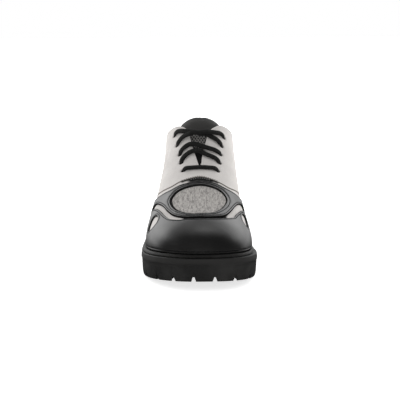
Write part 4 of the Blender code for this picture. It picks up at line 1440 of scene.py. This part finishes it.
@dataclass
class Upper:
    """The nubuck upper: one wall with rolled rims, punched eyelets, a lapped quarter and dark lining."""

    wall: float = 2.0
    eyelet: float = 2.0
    lap: float = 0.55
    lip: float = 0.46
    strip: float = 7.0
    strip_middle: float = 0.8
    strip_half: float = 20.3
    strip_behind: float = 80.0
    # black_*: painted shade between cap and band; foot_*: painted shade above the welt; strip_*: a black
    # strip.
    black_left: Range = (-19.0, -16.5)
    black_right: Range = (24.0, 26.5)
    black_back: Range = (58.0, 62.0)
    foot_black: Range = (4.7, 5.3)
    foot_bare: Range = (5.52, 6.85)
    rim_rings: tuple[float, ...] = (0.05, 0.2, 0.45, 0.9, 1.5, 2.1, 2.6, 3.1)
    hole_rings: tuple[float, ...] = (0.1, 0.35, 0.8)
    seam_rings: tuple[float, ...] = (-1.2, -0.6, -0.3, -0.1, 0.1, 0.3, 0.6, 1.2, 1.9, 2.5, 3.1)

    def opening(self, last: Last) -> Array:
        """Return the cut line of collar and throat."""
        marks = [*FACING_LATERAL, *last.both_sides(COLLAR), *FACING_MEDIAL[:0:-1]]
        return last.edge(marks, True, 1.0)

    def holes(self, last: Last) -> list[Array]:
        """Return the round cut lines of the eyelets.

        Args:
            last: the foot form.

        Returns:
            Places round each eyelet.
        """
        corners = 20
        turn = 2.0 * math.pi * np.arange(corners) / corners
        lines = []
        for mark in [mark for row in EYELETS for mark in row]:
            centre = last.spots([mark])
            place = last.press(centre)
            normal = last.normal(place)[0]
            aside = unit(np.cross(normal, (0.0, 0.0, 1.0)))
            up = np.cross(normal, aside)
            ring = np.cos(turn)[:, None] * aside + np.sin(turn)[:, None] * up
            lines.append(last.press(centre + self.eyelet * ring))
        return lines

    def build(self, cutter: Cutter, nubuck: Material, lining: Material) -> Object:
        """Add the upper in place of its solid.

        Its outside is the skin plus lap and creases, its inside the skin less the wall, and both roll into
        each other at every cut.

        Args:
            cutter: cutter of the last's skin.
            nubuck: material of the outside.
            lining: material of the inside and the lips.

        Returns:
            The new object.
        """
        last = cutter.last
        s = np.linspace(0.0, ROUND, 521)[:-1]
        foot = Rim(np.column_stack([s, np.zeros_like(s)]), (0.9,))
        windows = [Rim(self.opening(last), self.rim_rings)]
        windows += [Rim(hole, self.hole_rings) for hole in self.holes(last)]
        seam = last.edge(QUARTER, False, 1.0)
        patch = cutter.cut(foot, windows, [Rim(seam, self.seam_rings)])
        away, index = nearest(patch.points, last.surface(seam))
        side = last.side_vectors(seam, False)[index]
        signed = np.where(((patch.points - last.surface(seam)[index]) * side).sum(-1) < 0.0, -away, away)
        signed *= -1.0 if signed[patch.points[:, 1].argmax()] < 0.0 else 1.0
        half = 0.5 * self.wall
        roll = half * (1.0 - edge_round(patch.rim, half, 2.0))
        lap = self.lap * smoothstep(-0.35, 0.25, signed) * smoothstep(0.0, 1.0, patch.rim)
        top = lap - roll + self.creases(last, patch)
        points, faces, source = patch.shell(top, roll - self.wall)
        # Mask of the painted black: a black strip, and painted shade between cap and band and above the welt.
        black_strip_and_shade = self.black_strip_and_shade(last, patch, signed)
        values = {"rim": patch.rim[source], "quarter": signed[source], "black_strip_and_shade": black_strip_and_shade[source]}
        lip = patch.faces_where((patch.rim <= self.lip) & (patch.loop == 1))
        finish_of = np.concatenate([lip, np.ones(len(lip), bool)])
        made = add_piece("upper_shell", last.world(points), faces, [nubuck, lining], values,
                         finish_of)
        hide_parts("upper")
        return made

    def black_strip_and_shade(self, last: Last, patch: Patch, signed: Array) -> Array:
        """Return 1 where the skin is painted black: a strip below the throat and painted shade by the panels.

        The strip below the throat reaches down from the quarter's edge by its depth times 1 - (x / half)^2.

        Args:
            last: the foot form.
            patch: the upper's skin.
            signed: distance of each point from the quarter's edge, negative in front of it.

        Returns:
            A share for each point.
        """
        x, d = patch.points[:, 0], patch.points[:, 1]
        # Painted shade between cap and band.
        middle = smoothstep(*self.black_left, x) * (1.0 - smoothstep(*self.black_right, x))
        middle *= 1.0 - smoothstep(*self.black_back, d)
        reach = self.strip * (1.0 - ((x - self.strip_middle) / self.strip_half) ** 2)
        throat = (signed < -0.15) * smoothstep(-0.2, 0.4, reach + signed) * (d > self.strip_behind)
        # Painted shade in the crevice above the welt, under the feet of cap, band and counter.
        section = last.section(patch.places)
        height = patch.points[:, 2] - last.sole_top(d)
        front, back = self.foot_bare
        foot = (1.0 - smoothstep(*self.foot_black, height)) * ((section < front) | (section > back))
        return np.maximum(np.maximum(middle, throat), foot)

    def creases(self, last: Last, patch: Patch) -> Array:
        """Return the lift of the listed creases: -bell in a trough, with a low ridge beside it.

        Args:
            last: the foot form.
            patch: the upper's skin.

        Returns:
            A lift for each point.
        """
        lift = np.zeros(len(patch.points))
        for start, end, depth, width in CREASES:
            a, b = last.spots([start, end])
            share = np.clip(((patch.points - a) @ (b - a)) / ((b - a) @ (b - a)), 0.0, 1.0)
            away = np.linalg.norm(patch.points - a - share[:, None] * (b - a), axis=-1)
            lift += -depth * bell(away, width) + 0.45 * depth * bell(away - 1.9 * width, 0.8 * width)
        return lift * smoothstep(2.0, 8.0, patch.rim)


@dataclass
class Tongue:
    """The tongue: a leaf under the facings, leather where it stands out of the throat."""

    drop: float = 2.8
    thick: float = 3.4
    edge_radius: float = 2.6
    puff: float = 0.9
    puff_reach: float = 9.0
    puff_from: Range = (6.2, 6.5)
    # Painted shade: below these sections the tongue's net is painted dark.
    throat_shade_end: Range = (5.7, 5.85)
    leather_from: Range = (6.16, 6.18)
    rings: tuple[float, ...] = (0.1, 0.4, 0.9, 1.5, 2.2, 3.0)

    def build(self, cutter: Cutter, finish: Material) -> Object:
        """Add the tongue in place of its solid: two sheets, rounded together at the edge.

        Args:
            cutter: cutter of the last's skin.
            finish: material of the tongue.

        Returns:
            The new object.
        """
        last = cutter.last
        patch = cutter.cut(Rim(last.edge(TONGUE, True, 1.0), self.rings))
        section = last.section(patch.places)
        half = 0.5 * self.thick
        middle = -self.drop - half
        swell = half * edge_round(patch.rim, self.edge_radius, 2.0)
        proud = self.puff * smoothstep(0.0, self.puff_reach, patch.rim) * smoothstep(*self.puff_from, section)
        points, faces, source = patch.shell(middle + swell + proud, middle - swell)
        # mesh: 1 where the net is seen, 0 low in the throat where it is painted dark as shade.
        leather, mesh = smoothstep(*self.leather_from, section), smoothstep(*self.throat_shade_end, section)
        made = add_piece("tongue_leaf", last.world(points), faces, [finish],
                         {"leather": leather[source], "mesh": mesh[source]})
        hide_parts("tongue")
        return made


@dataclass
class Lace:
    """One flat lace: bars over the lower three rows and a crossing above them, run through the eyelets."""

    wide: float = 5.8
    thick: float = 2.2
    step: float = 0.7
    corners: int = 20
    inside_lift: float = -2.9
    wall_drop: float = 0.8
    edge_back: float = 1.3
    edge_lift: float = 0.95
    behind_share: float = 0.7
    eyelet_widths: tuple[float, ...] = (3.6, 3.9, 5.2)

    def end(self, last: Last, eyelet: Mark, toward: Array) -> tuple[Array, Array, Array]:
        """Return knots, up vectors and widths where the lace turns into an eyelet, from inside out.

        Args:
            last: the foot form.
            eyelet: the eyelet's mark.
            toward: the run's knot next to the eyelet.

        Returns:
            Three knots (inside, in the wall, over the edge), their up vectors and widths.
        """
        hole = last.spots([eyelet])[0]
        normal = last.normal(last.press(hole[None]))[0]
        out = unit(hole - toward)
        out = unit(out - normal * (out @ normal))
        knots = [hole + self.inside_lift * normal, hole - self.wall_drop * normal,
                 hole - self.edge_back * out + self.edge_lift * normal]
        ups = [0.6 * out - normal, out, 0.8 * normal + 0.6 * out]
        return np.array(knots), np.array(ups), np.array(self.eyelet_widths)

    def lifted(self, last: Last, run: Sequence[Knot]) -> tuple[Array, Array]:
        """Return a run's knots lifted off the skin.

        Args:
            last: the foot form.
            run: the knots.

        Returns:
            Their points, and the skin's normals under them.
        """
        skin = last.spots([Mark(knot.section, knot.w) for knot in run])
        normals = last.normal(last.press(skin))
        return skin + normals * np.array([knot.lift for knot in run])[:, None], normals

    def route(self, last: Last) -> tuple[Array, Array, Array]:
        """Return the whole lace, from one top eyelet to the other.

        Args:
            last: the foot form.

        Returns:
            Knots, up vectors and widths.
        """
        (l1, r1), (l2, r2), (l3, r3), (l4, r4), (l5, r5) = EYELETS
        runs = ((l5, LACE_FIFTH, r4), (r3, LACE_THIRD[::-1], l3), (l2, LACE_SECOND, r2),
                (r1, LACE_BAR[::-1], l1), (l4, LACE_FOURTH, r5))
        parts: list[tuple[Array, Array, Array]] = []
        for start, run, end in runs:
            line, normals = self.lifted(last, run)
            head, tail = self.end(last, start, line[0]), self.end(last, end, line[-1])
            over = (line, normals, np.full(len(line), self.wide))
            parts += [head, over, tuple(part[::-1] for part in tail)]
            if end is l1:
                line, normals = self.lifted(last, LACE_BEHIND)
                parts.append((line, -normals, np.full(len(line), self.behind_share * self.wide)))
        knots, ups, widths = (np.concatenate([part[k] for part in parts]) for k in range(3))
        return knots, unit(ups), widths

    def build(self, last: Last, finish: Material) -> Object:
        """Add the lace in place of its four solids.

        The section is a flattened oval, |cos|^0.7 wide and sin high, carried along the route.

        Args:
            last: the foot form.
            finish: material of the lace.

        Returns:
            The new object.
        """
        knots, ups, widths = self.route(last)
        at = run_length(knots)
        stations = np.linspace(0.0, at[-1], int(at[-1] / self.step))
        line = open_spline(at, knots, stations)
        along = unit(np.gradient(line, axis=0))
        up = open_spline(at, ups, stations)
        up = unit(up - along * (up * along).sum(-1, keepdims=True))
        aside = np.cross(along, up)
        wide = np.interp(stations, at, widths)
        turn = 2.0 * math.pi * (np.arange(self.corners) + 0.5) / self.corners
        flat = np.sign(np.cos(turn)) * np.abs(np.cos(turn)) ** 0.7
        across = 0.5 * wide[:, None] * flat[None, :]
        high = 0.5 * self.thick * np.sin(turn)[None, :] * np.sqrt(self.wide / wide)[:, None] ** 0.4
        points = line[:, None, :] + across[..., None] * aside[:, None, :] + high[..., None] * up[:, None, :]
        count = len(stations)
        faces = grid_faces(count, self.corners, True).tolist()
        faces.append(list(range(self.corners)))
        faces.append(list(range(count * self.corners - 1, (count - 1) * self.corners - 1, -1)))
        values = {"along": np.repeat(run_length(line), self.corners), "across": across.ravel()}
        made = add_piece("lace", last.world(points.reshape(-1, 3)), faces, [finish], values,
                         merge=True)
        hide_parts("lace_bar_first", "lace_bar_second", "lace_bar_third", "lace_cross")
        LOG.info("lace: %.0f mm from top eyelet to top eyelet", run_length(line)[-1])
        return made


def rungs(ring: Array, share: Array) -> Array:
    """Return straight rungs across the foot, from the lateral half of a ring to its medial half.

    Args:
        ring: points round the foot from the toe, as many on both sides.
        share: places along a rung, 0 to 1.

    Returns:
        Points by rung and share.
    """
    count = len(ring) // 2 + 1
    medial = np.vstack([ring[:1], ring[:count - 1:-1], ring[count - 1:count]])
    share = share[None, :, None]
    return ring[:count][:, None, :] * (1.0 - share) + medial[:, None, :] * share


def capped(rings: Sequence[Array], caps: Sequence[Array]) -> tuple[Array, Numbers]:
    """Return a side of rings with the grids that close it.

    Args:
        rings: points round the foot, ring by ring.
        caps: grids of points inside the first and the last ring.

    Returns:
        Points and quads.
    """
    faces = [grid_faces(len(rings), len(rings[0]), True)]
    points = np.vstack(rings)
    for cap in caps:
        faces.append(grid_faces(cap.shape[0], cap.shape[1], False, len(points)))
        points = np.vstack([points, cap.reshape(-1, 3)])
    return points, np.vstack(faces)


class SideRing(NamedTuple):
    """A ring of the outsole's side: its inset, and its height under the top or over the floor."""

    inset: float
    height: float
    from_top: bool


@dataclass
class Outsole:
    """The lug sole: a rand above a step, a sheer side, notches between the edge lugs and a block tread."""

    pitch: float = 20.5
    notch_wide: float = 4.6
    notch_narrow: float = 1.8
    notch_high: float = 4.6
    notch_deep: float = 11.0
    notch_corner: float = 0.3
    lug_inset: float = 2.4
    groove: float = 2.4
    front_notches: int = 7
    heel_notches: int = 4
    phase: float = 2.0
    lip: float = 3.0
    swell: float = 0.9
    waist: float = 1.8
    swell_at: float = 16.9
    waist_at: float = 15.8
    blend: float = 0.8
    plain_from: Range = (118.0, 126.0)
    plain_to: Range = (214.0, 220.0)
    field_to: Range = (52.0, 74.0)
    # Share of the painted highlight on the rand, one value a ring of the side.
    rand: tuple[float, ...] = (0.0, 0.0, 0.0, 0.0, 0.5, 1.0, 1.0, 0.8, 0.3)
    shares: tuple[float, ...] = (0.0, 0.08, 0.2, 0.3, 0.4, 0.43, 0.46, 0.54, 0.57, 0.6, 0.7, 0.8, 0.92, 1.0)
    side: tuple[SideRing, ...] = table(
        SideRing, (6.6, 0.0, True), (2.2, 0.0, True), (1.2, 0.02, True), (0.8, 0.15, True), (0.5, 0.45, True),
        (0.4, 0.9, True), (0.3, 2.2, True), (0.1, 3.8, True), (0.0, 5.4, True), (0.06, 6.1, True),
        (0.25, 6.5, True), (0.5, 6.8, True), (0.6, 7.3, True), (0.65, 9.0, True), (1.2, 4.6, False),
        (1.7, 1.6, False), (2.0, 0.8, False), (2.4, 0.25, False), (3.0, 0.0, False))

    def margin(self, last: Last, s: Array) -> Array:
        """Return how far the sole stands out from the upper's foot, wider beside the medial ball."""
        at = s % ROUND
        swell = self.swell * bell(at - self.swell_at, self.blend)
        return last.column("margin", s) + swell - self.waist * bell(at - self.waist_at, self.blend)

    def notch(self, away: Array) -> Array:
        """Return the rise of a notch at distances from its middle, a trapezoid."""
        half, core = 0.5 * self.notch_wide, 0.5 * self.notch_narrow
        return self.notch_high * np.clip((half - away) / (half - core), 0.0, 1.0)

    def worked(self, d: Array) -> Array:
        """Return 1 on the treads of forefoot and heel, 0 in the waist."""
        return 1.0 - smoothstep(*self.plain_from, d) * (1.0 - smoothstep(*self.plain_to, d))

    def columns(self, last: Last, way: int) -> tuple[Array, Array]:
        """Return loop places of one side's columns and each one's distance from the nearest notch.

        Columns gather at both slopes of every notch, and as many of them lie between two notches on the
        lateral side as on the medial side, so that rungs can join them under the foot.

        Args:
            last: the foot form.
            way: 1 for the lateral side, -1 for the medial one.

        Returns:
            Loop places from toe to heel, and distances along the edge.
        """
        fine = way * np.linspace(0.0, HALF, 3001)
        plan = last.outline(fine % ROUND, self.margin(last, fine) - self.lug_inset)
        length = run_length(plan)
        front = (np.arange(self.front_notches) + 0.5) * self.pitch + way * self.phase
        heel = length[-1] - (np.arange(self.heel_notches)[::-1] + 0.5) * self.pitch
        notches = np.concatenate([front, heel])
        half, core = 0.5 * self.notch_wide, 0.5 * self.notch_narrow
        edge = half + self.notch_corner
        corners = (notches[:, None] + np.array([-edge, -half, -core, core, half, edge])).ravel()
        marks = np.concatenate([[0.0], corners, [length[-1]]])
        parts = [np.linspace(a, b, n, endpoint=False) for a, b, n in zip(marks[:-1], marks[1:], self.steps())]
        at = np.concatenate([*parts, [length[-1]]])
        away = np.abs(at[:, None] - notches[None, :]).min(1)
        return np.interp(at, length, np.abs(fine)), away

    def steps(self) -> list[int]:
        """Return the number of columns in each run between the corners of the notches.

        Returns:
            Numbers from toe to heel: the end, then a notch and the lug or waist after it in turn.
        """
        end, lug, waist, notch = 6, 10, 50, [1, 2, 2, 2, 1]
        after = [lug] * (self.front_notches - 1) + [waist] + [lug] * (self.heel_notches - 1) + [end]
        return [end] + [count for run in after for count in (*notch, run)]

    def build(self, last: Last, finish: Material) -> Object:
        """Add the outsole in place of its solid.

        The side is a profile carried round the outline; under it every column is raised in the notches by
        a trapezoid of its distance from the notch, and the tread inside is a grid of rungs from the
        lateral columns to the medial ones, grooved across at the notches and along the middle.

        Args:
            last: the foot form.
            finish: material of the sole.

        Returns:
            The new object.
        """
        u_lateral, away_lateral = self.columns(last, 1)
        u_medial, away_medial = self.columns(last, -1)
        s = np.concatenate([u_lateral, ROUND - u_medial[-2:0:-1]])
        away = np.concatenate([away_lateral, away_medial[-2:0:-1]])
        notch = self.notch(away)
        rings = [self.ring(last, s, ring, notch) for ring in self.side]
        channel = np.maximum(self.worked(last.column("d", s)) * self.groove, notch)
        deep = self.notch_deep
        for inset, raised in ((6.0, notch), (9.0, notch), (deep - 0.4, notch), (deep, channel),
                              (deep + 2.2, channel), (deep + 2.7, notch)):
            rings.append(self.ring(last, s, SideRing(inset, 0.0, False), raised))
        ends = ((rings[0], False), (rings[-1], True))
        points, faces = capped(rings, [self.under(last, ring, away_lateral, tread) for ring, tread in ends])
        rand = np.zeros(len(points))
        rand[:len(self.rand) * len(s)] = np.repeat(self.rand, len(s))
        made = add_piece("outsole_lugged", last.world(points), faces, [finish], {"rand": rand},
                         merge=True)
        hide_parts("outsole")
        return made

    def plan(self, last: Last, s: Array, inset: float) -> Array:
        """Return the outline moved in: along its normal, and past the lip straight back at the toe.

        Args:
            last: the foot form.
            s: loop places.
            inset: distance inwards.

        Returns:
            Rows of (x, d).
        """
        margin = self.margin(last, s)
        plan = last.outline(s, margin - inset)
        if inset <= self.lip:
            return plan
        edge = last.outline(s, margin - self.lip)
        share = smoothstep(0.5, 0.8, unit(plan - edge)[:, 1])[:, None]
        return plan * (1.0 - share) + (edge + np.array([0.0, inset - self.lip])) * share

    def ring(self, last: Last, s: Array, ring: SideRing, notch: Array) -> Array:
        """Return one ring of the side or the tread, kept above the notches.

        Args:
            last: the foot form.
            s: loop places.
            ring: the ring's inset and height.
            notch: rise of the notches at those places.

        Returns:
            Rows of points.
        """
        plan = self.plan(last, s, ring.inset)
        floor = last.sole_floor(plan[:, 1])
        if ring.from_top:
            height = last.sole_top(plan[:, 1]) - ring.height
        else:
            height = floor + np.maximum(ring.height, notch)
        return np.column_stack([plan, height])

    def under(self, last: Last, ring: Array, away: Array, tread: bool) -> Array:
        """Return the rungs that close the sole inside a ring.

        The tread is raised at the notches, by a groove along the middle and by a hollow field at the toe.

        Args:
            last: the foot form.
            ring: the ring's points.
            away: each rung's distance from the nearest notch.
            tread: whether they are the tread, not the top.

        Returns:
            Points by rung and share.
        """
        share = np.array(self.shares)
        grid = rungs(ring, share)
        edges = grid[:, [0, -1]].copy()
        d = grid[..., 1]
        if tread:
            middle = self.groove * np.clip((0.07 - np.abs(share - 0.5)) / 0.03, 0.0, 1.0)[None, :]
            hollow = self.notch_high * (1.0 - smoothstep(*self.field_to, d))
            cross = np.maximum(self.notch(away)[:, None], middle)
            grid[..., 2] = last.sole_floor(d) + np.maximum(cross * self.worked(d), hollow)
        else:
            grid[..., 2] = last.sole_top(d)
        grid[:, [0, -1]] = edges
        return grid


@dataclass
class Welt:
    """The rounded strip round the upper's foot."""

    profile: tuple[Range, ...] = ((0.5, 0.3), (4.2, 0.3), (4.5, 1.7), (3.8, 3.0), (2.4, 3.4), (1.3, 3.0))
    inner: float = 0.5
    lowest: float = 0.15
    waist: float = 0.6
    waist_at: float = 16.1
    waist_width: float = 1.3
    steps: int = 24
    columns: int = 520

    def build(self, last: Last, finish: Material) -> Object:
        """Add the welt in place of its solid: a closed profile carried round the foot, narrow at the waist.

        Args:
            last: the foot form.
            finish: material of the welt.

        Returns:
            The new object.
        """
        s = np.linspace(0.0, ROUND, self.columns + 1)[:-1]
        corners = loop_spline(np.array(self.profile), np.arange(self.steps) * len(self.profile) / self.steps)
        rings = []
        narrow = 1.0 - self.waist * bell(s - self.waist_at, self.waist_width)
        for out, up in np.vstack([corners, corners[:1]]):
            plan = last.outline(s, self.inner + (out - self.inner) * narrow)
            rings.append(np.column_stack([plan, last.sole_top(plan[:, 1]) + max(up, self.lowest)]))
        faces = grid_faces(len(rings), len(s), True)
        made = add_piece("welt_roll", last.world(np.vstack(rings)), faces, [finish], merge=True)
        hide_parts("welt")
        return made


@dataclass
class Insole:
    """The insole: a board faced with cloth, with a softened edge, its rings given by inset and share of
    thick.
    """

    inset: float = 3.0
    thick: float = 3.0
    columns: int = 240
    across: int = 15
    edge: tuple[Range, ...] = ((6.0, 0.0), (0.0, 0.0), (0.0, 0.75), (0.2, 0.9), (0.6, 1.0), (1.4, 1.02))

    def build(self, last: Last, finish: Material) -> Object:
        """Add the insole in place of its solid: rounded rings, then rungs across.

        Args:
            last: the foot form.
            finish: material of the insole.

        Returns:
            The new object.
        """
        u = np.linspace(0.0, HALF, self.columns // 2 + 1)
        s = np.concatenate([u, ROUND - u[-2:0:-1]])
        rings = []
        for inset, up in self.edge:
            plan = last.outline(s, np.full_like(s, -self.inset - inset))
            rings.append(np.column_stack([plan, last.sole_top(plan[:, 1]) + last.joint + up * self.thick]))
        share = np.linspace(0.0, 1.0, self.across)
        points, faces = capped(rings, [rungs(ring, share) for ring in (rings[0], rings[-1])])
        made = add_piece("insole_board", last.world(points), faces, [finish], merge=True)
        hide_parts("insole")
        return made


@dataclass
class Shoe:
    """The whole shoe: builds every piece in order."""

    last: Last = field(default_factory=Last)
    thread_sunk: float = 0.3
    collar_row: float = 2.6
    collar_lift: float = 0.35
    quarter_row: float = 0.9
    quarter_lift: float = 0.62
    quarter_reach: Range = (-18.0, 20.0)
    throat_row: float = -1.7
    throat_lift: float = 0.1
    throat_reach: Range = (-9.0, 12.0)

    def panels(self) -> dict[str, Panel]:
        """Return the panels that lie on the upper, by a short name."""
        last = self.last
        top = last.to_foot(last.edge(CAP_TOP, False, 1.0))
        cap = np.vstack([top, last.foot_line(top[-1, 0] - ROUND, top[0, 0], 1.4)])
        drops = [last.edge(marks, True, 0.8) for marks in (DROP_LATERAL, DROP_MEDIAL)]
        upper_edge = last.to_foot(last.edge(BAND_TOP, False, 1.0))
        low = last.to_foot(last.edge(BAND_LOW, False, 1.0))[::-1]
        band = np.vstack([upper_edge, last.foot_line(upper_edge[-1, 0], low[0, 0], 1.4), low,
                          last.foot_line(low[-1, 0], upper_edge[0, 0], 1.4)])
        oval = last.edge(OVAL, True, 0.8)
        counter = last.to_foot(last.edge(last.both_sides(COUNTER_TOP), False, 1.0))
        counter = np.vstack([counter, last.foot_line(counter[-1, 0], counter[0, 0], 1.4)])
        tip = last.spots([Mark(0.0, 0.0)])[0]
        # The band's wide dark ring round the oval, wider on the lateral side, and the cloth's thin dark edge
        # are painted shade.
        return {"cap": Panel("toe_cap", cap, drops, fold=tip),
                "band": Panel("vamp_band", band, [oval], thick=1.8, window_shade=1.7, window_furrow=3.6,
                              window_shade_bias=0.6),
                "cloth": Panel("oval_panel", oval, (), thick=0.7, dark_edge=0.3, furrow_half=-1.0,
                               furrow_depth=0.0),
                "counter": Panel("heel_counter", counter)}

    def quarter_line(self, reach: Range, off: float) -> Array:
        """Return a line beside the quarter's front edge.

        Args:
            reach: x values between which it runs.
            off: distance from the edge, forwards.

        Returns:
            Places along it.
        """
        seam = self.last.edge(QUARTER, False, 1.0)
        x = self.last.surface(seam)[:, 0]
        return self.last.offset(seam[(x > reach[0]) & (x < reach[1])], off, False)

    def build(self) -> None:
        """Add every piece, with its finish."""
        last = self.last
        cutter = Cutter(last)
        nubuck, lining, leather = Nubuck().material(), LINING.material(), Leather().material()
        # The edge material darkens cut edges and furrows: dyed edges and painted shade.
        rubber, ink_and_shade = Rubber().material(), EDGE_INK_AND_SHADE.material()
        black_thread, white_thread = BLACK_THREAD.material(), WHITE_THREAD.material()
        Outsole().build(last, rubber)
        Welt().build(last, rubber)
        Insole().build(last, lining)
        upper = Upper()
        upper.build(cutter, nubuck, lining)
        Tongue().build(cutter, TongueFinish().material())
        panels = self.panels()
        for key, panel in panels.items():
            panel.build(cutter, Textile().material() if key == "cloth" else leather, ink_and_shade,
                        Slot.TEXTILE if key == "cloth" else Slot.BLACK)
        stitcher = Stitcher(last)
        for key in ("cap", "band", "counter"):
            panel = panels[key]
            lift = panel.base + panel.thick - self.thread_sunk
            rows = [stitcher.row(line, lift) for line in panel.stitch_lines(cutter)]
            stitcher.sew(panel.name + "_stitches", rows, black_thread)
        opening = upper.opening(last)
        row = last.offset(opening, cutter.into(opening, False) * self.collar_row, True)
        stitcher.sew("collar_stitches", [stitcher.row(row, self.collar_lift)], white_thread)
        fine = Stitcher(last, 2.3, 1.2, 0.26)
        row = self.quarter_line(self.quarter_reach, self.quarter_row)
        fine.sew("quarter_stitches", [fine.row(row, self.quarter_lift)], black_thread)
        row = self.quarter_line(self.throat_reach, self.throat_row)
        fine.sew("throat_stitches", [fine.row(row, self.throat_lift)], white_thread)
        Lace().build(last, Cord().material())


@dataclass
class Studio:
    """The pale floor, the soft lights and the camera at the photograph's angle."""

    aim: Point = (0.001628, -0.050691, 0.070)
    lit: Point = (0.0, -0.03, 0.06)
    elevation: float = 13.5
    azimuth: float = -2.0
    distance: float = 1.6
    lens: float = 144.0
    shift: Range = (0.002, -0.010)
    power: float = 9.0
    glow: float = 0.72
    fill: float = 0.72
    gleam: float = 0.03
    left_gleam: float = 1.9
    mid_gleam: float = 0.8
    right_gleam: float = 0.5
    over_gleam: float = 1.6
    ceiling: float = 0.08

    def camera(self) -> None:
        """Add the camera."""
        a, e = math.radians(self.azimuth), math.radians(self.elevation)
        back = Vector((math.sin(a) * math.cos(e), -math.cos(a) * math.cos(e), math.sin(e)))
        data = bpy.data.cameras.new("camera")
        data.lens = self.lens
        data.sensor_width = 36.0
        data.shift_x, data.shift_y = self.shift
        data.clip_start, data.clip_end = 0.05, 50.0
        made = bpy.data.objects.new("camera", data)
        made.location = Vector(self.aim) + back * self.distance
        made.rotation_euler = (-back).to_track_quat("-Z", "Y").to_euler()
        bpy.context.scene.collection.objects.link(made)
        bpy.context.scene.camera = made

    def light(self, name: str, at: Point, size: Range) -> None:
        """Add a soft box that faces the shoe.

        Args:
            name: name of the box.
            at: its place, in metres.
            size: its width and height.
        """
        data = bpy.data.lights.new(name, "AREA")
        data.shape = "RECTANGLE"
        data.size, data.size_y = size
        data.energy = self.power
        made = bpy.data.objects.new(name, data)
        made.visible_glossy = False
        made.location = at
        made.rotation_euler = (Vector(self.lit) - Vector(at)).to_track_quat("-Z", "Y").to_euler()
        bpy.context.scene.collection.objects.link(made)

    def floor(self) -> None:
        """Add the floor: a wide flat sheet under the sole, to the gloss dim in front and bright behind."""
        shader = Shader("pale_floor")
        mottle = shader.noise(3.0, 2.0)
        glossy = shader.add("LightPath").outputs["Is Glossy Ray"]
        pale = shader.mix(mottle, grey(0.86), grey(0.88))
        behind = shader.add("SeparateXYZ", None, Vector=shader.object).outputs["Y"]
        far = shader.mix(shader.ramp(behind, -0.05, 0.30), grey(0.03), grey(1.0))
        shader.set(Base_Color=shader.mix(glossy, pale, grey(0.05)), Roughness=0.9, Specular_IOR_Level=0.1,
                   Emission_Color=shader.mix(glossy, grey(1.0), far), Emission_Strength=self.glow)
        mesh = bpy.data.meshes.new("floor")
        half, count, below = 1.6, 13, -0.0002
        along = np.linspace(-half, half, count)
        x, y = np.meshgrid(along, along, indexing="ij")
        points = np.stack([x, y, np.full_like(x, below)], -1).reshape(-1, 3)
        mesh.from_pydata(points.tolist(), [], grid_faces(count, count, False)[:, ::-1].tolist())
        mesh.materials.append(shader.material)
        made = bpy.data.objects.new("floor", mesh)
        bpy.context.scene.collection.objects.link(made)

    def world(self) -> None:
        """Set the surroundings: white to the eye, even to the shoe, and behind it brighter to its gloss.

        A glossy ray sees front + back * low * (left + right + over * up), each a smooth step of the ray's
        direction; low falls to the dim ceiling overhead.
        """
        world = bpy.data.worlds.new("studio")
        world.use_nodes = True
        nodes = Nodes(world.node_tree)
        way = nodes.add("SeparateXYZ", None, Vector=nodes.add("TexCoord").outputs["Generated"]).outputs
        aside = nodes.math("ABSOLUTE", way["X"])
        back = nodes.ramp(nodes.math("MULTIPLY_ADD", aside, 0.25, way["Y"]), 0.36, 0.72)
        left = nodes.ramp(way["X"], -0.65, -0.05, self.left_gleam, self.mid_gleam)
        right = nodes.ramp(way["X"], 0.05, 0.65, 0.0, self.right_gleam)
        above = nodes.math("MULTIPLY_ADD", nodes.ramp(way["Z"], 0.15, 0.62), self.over_gleam, left)
        low = nodes.math("MULTIPLY", back, nodes.ramp(way["Z"], 0.60, 0.80, 1.0, self.ceiling))
        gloss = nodes.math("MULTIPLY_ADD", low, nodes.math("ADD", above, right), self.gleam)
        path = nodes.add("LightPath").outputs
        last = nodes.add("Background", None, Color=grey(self.fill))
        for ray, level in (("Is Glossy Ray", gloss), ("Is Camera Ray", 1.0)):
            seen = nodes.add("Background", None, Color=grey(1.0), Strength=level)
            last = nodes.add("MixShader", None, in0=path[ray], in1=last.outputs[0], in2=seen.outputs[0])
        nodes.put(world.node_tree.nodes["World Output"].inputs["Surface"], last.outputs[0])
        bpy.context.scene.world = world
        bpy.context.scene.view_settings.view_transform = "Standard"

    def build(self) -> None:
        """Add camera, floor, lights and surroundings."""
        self.camera()
        self.floor()
        self.world()
        self.light("left_box", (-1.05, 1.05, 0.55), (1.1, 1.1))
        self.light("right_box", (1.05, 1.05, 0.55), (1.1, 1.1))
        self.light("top_box", (0.0, 1.25, 1.25), (1.8, 0.8))


def main() -> None:
    """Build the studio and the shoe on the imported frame."""
    logging.basicConfig(level=logging.INFO, format="%(message)s")
    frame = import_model()
    LOG.info("frame: %d nodes", len(frame["nodes"]))
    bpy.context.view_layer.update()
    Studio().build()
    Shoe().build()


if __name__ == "__main__":
    main()
